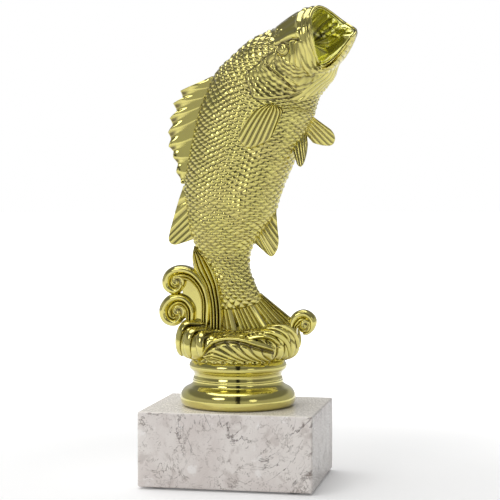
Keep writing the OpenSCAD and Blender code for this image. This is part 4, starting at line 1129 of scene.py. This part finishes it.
def fin_sheet(root, edge, cols, rows, broken=False):
    """Middle surface of a fin, from its root, where r is 0, to its outer edge, where r is 1."""
    t = np.linspace(0, 1, cols)[:, None]
    r = np.linspace(0, 1, rows)[None, :]
    b = flat_points(straight(edge, t[:, 0]) if broken else curve(edge, t[:, 0]))[:, None]
    a = curve(root, t[:, 0])[:, None]
    return t, r, a + (b - a) * r[..., None]


def close(t, r):
    """Thins a fin to its outer edge and to both of its ends."""
    outer = np.sqrt(np.clip((1 - r) / 0.03, 0.04, 1))
    return outer * np.sqrt(np.clip(np.minimum(t, 1 - t) / 0.012, 0.06, 1))

t, r, middle = fin_sheet(root_line(0.610, 0.387, True), SPINY, 330, 60, broken=True)
tooth = t * 8
spine = hump(tooth - np.round(tooth), 0.10)
notch = np.mod(tooth, 1)
fold = 0.8 * r**5 * np.sin(np.pi * 2 * (notch - 0.12))
thick = (0.52 + 0.07 * spine * (1 - 0.35 * r)) * close(t, r)
# painted shade: spots near the root and behind each spine, and between the spines at the edge
dots = hump(notch - 0.15, 0.10) * hump(r - 0.20, 0.03)
between = 0.95 * hump(notch - 0.24, 0.15) * step(r, 0.74, 0.90) * step(r, 1.0, 0.96)
dark = np.clip(between + 0.8 * dots + 0.25 * hump(notch - 0.14, 0.04), 0, 1)
fin("spiny_dorsal", middle, thick, dark, "spiny_dorsal_fin", bend=fold)

t, r, middle = fin_sheet(root_line(0.377, 0.223, True), SOFT, 240, 60)
ray = np.abs(np.cos(np.pi * 8 * t ** 0.9)) ** 1.3
# painted shade between the rays
dark = 0.5 * (1 - ray) ** 2 * step(r, 0.1, 0.3)
fin("soft_dorsal", middle, (0.42 + 0.36 * ray) * close(t, r), dark, "soft_dorsal_fin")

t, r, middle = fin_sheet(root_line(0.328, 0.210, False), ANAL, 240, 60)
ray = np.abs(np.cos(np.pi * 9 * t)) ** 1.3
# painted shade between the rays
dark = 0.6 * (1 - ray) ** 2 * step(r, 0.1, 0.3)
fin("anal_rays", middle, (0.40 + 0.38 * ray) * close(t, r), dark, "anal_fin")

# Pectoral and pelvic fins
# Small fans with raised rays: the pectorals lie on the flanks behind the gill covers, and the pelvic
# fins stand off the belly, the right one folded back and the left one spread.

# root and tip as places: shares of the way along the body, and of half its girth from the back
PECTORAL_ROOT = [(0.552, 0.608), (0.546, 0.622), (0.538, 0.642)]
PECTORAL_TIP = [(0.470, 0.478), (0.460, 0.515), (0.455, 0.565), (0.459, 0.620), (0.468, 0.672),
                (0.492, 0.684)]
PECTORALS = [(-1, "right_pectoral", "pectoral_fin_right"), (1, "left_pectoral", "pectoral_fin_left")]
for side, name, node in PECTORALS:
    t = np.linspace(0, 1, 200)[:, None]
    r = np.linspace(0, 1, 70)[None, :]
    a, b = curve(PECTORAL_ROOT, t[:, 0])[:, None], curve(PECTORAL_TIP, t[:, 0])[:, None]
    place = a + (b - a) * r[..., None]
    s, v = place[..., 0] + 0.006 * np.sin(np.pi * r), 180 * place[..., 1] + 4 * np.sin(np.pi * r) * t
    way = skin_way(s, v, side)
    ray = np.abs(np.cos(np.pi * 8 * t)) ** 1.2
    edge = np.clip(np.minimum(np.minimum(t, 1 - t) / 0.02, (1 - r) / 0.03), 0, 1)
    lift = 0.45 + 0.95 * (0.45 + 0.55 * ray) * np.sqrt(edge) + 0.5 * hump(r, 0.12)
    outer = skin(s, v, side) + way * lift[..., None]
    inner = skin(s, v, side) + way * 0.05
    # painted shade between the rays
    dark = np.clip((1 - ray) ** 1.5 * step(r, 0.05, 0.2), 0, 1) * 0.9 + 0 * r
    two_faced(name, outer, inner, dark, 0 * dark, node)

PELVIC_LEN = 10.5
# along each root: the place, as for the pectorals, and how far the fin reaches down, back and outwards
PELVIC_RIGHT = [(0.478, 0.985, 0.12, 0.62, 0.20), (0.468, 0.93, 0.20, 0.88, 0.30),
                (0.455, 0.885, 0.30, 0.72, 0.35)]
PELVIC_LEFT = [(0.505, 0.97, 0.90, 0.60, 0.30), (0.490, 0.95, 0.80, 0.75, 0.30),
               (0.475, 0.93, 0.36, 0.40, 0.15)]
PELVICS = [(-1, PELVIC_RIGHT, "right_pelvic", "pelvic_fin_right"),
           (1, PELVIC_LEFT, "left_pelvic", "pelvic_fin_left")]
for side, table, name, node in PELVICS:
    t = np.linspace(0, 1, 120)[:, None]
    r = np.linspace(0, 1, 50)[None, :]
    p = curve(table, t[:, 0])
    s = p[:, 0]
    back, belly = side_point(curve(BACK, s)), side_point(curve(BELLY, s))
    up = (back - belly) / np.linalg.norm(back - belly, axis=-1, keepdims=True)
    down = np.stack([-up[:, 0], 0 * s, -up[:, 1]], -1)
    ahead = np.stack([up[:, 1], 0 * s, -up[:, 0]], -1)
    beam = PELVIC_LEN * (p[:, 2:3] * down - p[:, 3:4] * ahead + p[:, 4:5] * side * np.array([0, 1.0, 0]))
    root = skin(s, 180 * p[:, 1], side, -GLUE - 0.46)
    middle = (root - beam * 0.12)[:, None] + (beam * 1.12)[:, None] * r[..., None]
    middle = middle - beam[:, None] * (0.30 * np.abs(2 * t - 1) ** 3 * r**2)[..., None]
    ray = np.abs(np.cos(np.pi * 6 * t)) ** 1.2
    thick = (0.28 + 0.42 * ray) * close(t, r) * (1 - 0.3 * r)
    # painted shade between the rays
    fin(name, middle, thick, 0.85 * (1 - ray) ** 1.6 * step(r, 0.1, 0.3), node)

# Stage, light and camera
# A plain white floor under soft boxes, seen from a little to the fish's belly side.
FLOOR_RINGS = [(0.001, 0), (300, 0), (1200, 0), (6000, 0)]
AIM = np.array([0, 0, 0.1])
SIDE_WAY, FRONT_WAY = (0.979, 0.2045, 0), (0.2045, -0.979, 0)
CAMERA_AT = (0.12454, -0.59613, 0.1201)
CAMERA_DOWN, CAMERA_TURN = 2.47, 11.34


def rays(tree):
    """Whether a ray comes from the camera, whether it comes from the camera or from a mirror-like or clear
    surface, and whether it comes from such a surface."""
    path = add(tree, "ShaderNodeLightPath")
    camera = path.outputs["Is Camera Ray"]
    mirrored = math(tree, "MAXIMUM", path.outputs["Is Glossy Ray"], path.outputs["Is Transmission Ray"])
    seen = math(tree, "MAXIMUM", camera, mirrored)
    return camera, seen, math(tree, "SUBTRACT", seen, camera)
floor_mesh = bpy.data.meshes.new("floor")
grid = turned(FLOOR_RINGS, 64) * MM
floor_mesh.from_pydata(grid.reshape(-1, 3).tolist(), [], grid_quads(4, 64, wrap_cols=True).tolist())
floor = bpy.data.objects.new("floor", floor_mesh)
bpy.context.scene.collection.objects.link(floor)
white, tree, paper, place = new_material("white_paper")
paper.inputs["Base Color"].default_value = (0.86, 0.86, 0.86, 1)
paper.inputs["Roughness"].default_value = 0.9
glow = add(tree, "ShaderNodeEmission", {"Color": (1, 1, 1, 1)})
camera_ray, _, mirror_ray = rays(tree)
away = add(tree, "ShaderNodeVectorMath", {0: place}, operation="LENGTH").outputs["Value"]
to_eye = math(tree, "MULTIPLY", camera_ray, ramp(tree, away, 90, 420, 0.12, 1.0))
to_gold = math(tree, "MULTIPLY", mirror_ray, ramp(tree, away, 90, 420, 0.05, 0.30))
tree.links.new(math(tree, "ADD", to_eye, to_gold), glow.inputs["Strength"])
both = add(tree, "ShaderNodeAddShader", {0: paper.outputs[0], 1: glow.outputs[0]})
tree.links.new(both.outputs[0], next(n for n in tree.nodes if n.type == "OUTPUT_MATERIAL").inputs["Surface"])
floor_mesh.materials.append(white)

world = bpy.data.worlds.new("studio")
bpy.context.scene.world = world
world.use_nodes = True
tree = world.node_tree
tree.nodes.clear()
camera_ray, seen, mirror_ray = rays(tree)
way = add(tree, "ShaderNodeTexCoord").outputs["Generated"]
up = add(tree, "ShaderNodeSeparateXYZ", {0: way}).outputs[2]
wall = math(tree, "MAXIMUM", ramp(tree, up, 0.30, 0.48, 0.46, 0.20), ramp(tree, up, 0.75, 0.95, 0.20, 0.42))
aside = add(tree, "ShaderNodeVectorMath", {0: way, 1: SIDE_WAY}, operation="DOT_PRODUCT").outputs["Value"]
front = add(tree, "ShaderNodeVectorMath", {0: way, 1: FRONT_WAY}, operation="DOT_PRODUCT").outputs["Value"]
# the dark gap between two soft boxes, which the pedestal mirrors as a narrow bar
gap = ramp(tree, math(tree, "ABSOLUTE", aside), 0.090, 0.065)
gap = math(tree, "MULTIPLY", gap, ramp(tree, front, 0.3, 0.4))
wall = math(tree, "MULTIPLY", wall, math(tree, "MULTIPLY_ADD", gap, -0.93, 1.0))
to_gold = math(tree, "MULTIPLY", mirror_ray, wall)
rest = math(tree, "MULTIPLY", math(tree, "SUBTRACT", 1.0, seen), ramp(tree, aside, -0.3, 0.5, 0.88, 0.20))
strength = math(tree, "ADD", camera_ray, math(tree, "ADD", to_gold, rest))
air = add(tree, "ShaderNodeBackground", {"Color": (1, 1, 1, 1), "Strength": strength})
add(tree, "ShaderNodeOutputWorld", {"Surface": air.outputs[0]})

for name, spot, size, power in (("key_box", (-0.50, -0.80, 0.75), 0.42, 1.5),
                                ("fill_box", (0.70, -0.75, 0.50), 0.30, 0.25),
                                ("top_box", (-0.15, 0.10, 1.05), 0.95, 4.8)):
    light = bpy.data.lights.new(name, "AREA")
    light.shape, light.size, light.energy = "DISK", size, power
    lamp = bpy.data.objects.new(name, light)
    bpy.context.scene.collection.objects.link(lamp)
    lamp.location = spot
    way = AIM - np.array(spot)
    flat = np.hypot(way[0], way[1])
    lamp.rotation_euler = (np.arctan2(flat, -way[2]), 0, np.arctan2(way[1], way[0]) - np.pi / 2)

lens = bpy.data.cameras.new("camera")
lens.sensor_width, lens.lens = 36.0, 108.0
lens.clip_start = 0.01
camera = bpy.data.objects.new("camera", lens)
bpy.context.scene.collection.objects.link(camera)
camera.location = CAMERA_AT
camera.rotation_euler = (np.radians(90 - CAMERA_DOWN), 0, np.radians(CAMERA_TURN))
bpy.context.scene.camera = camera
bpy.context.scene.view_settings.view_transform = "Standard"
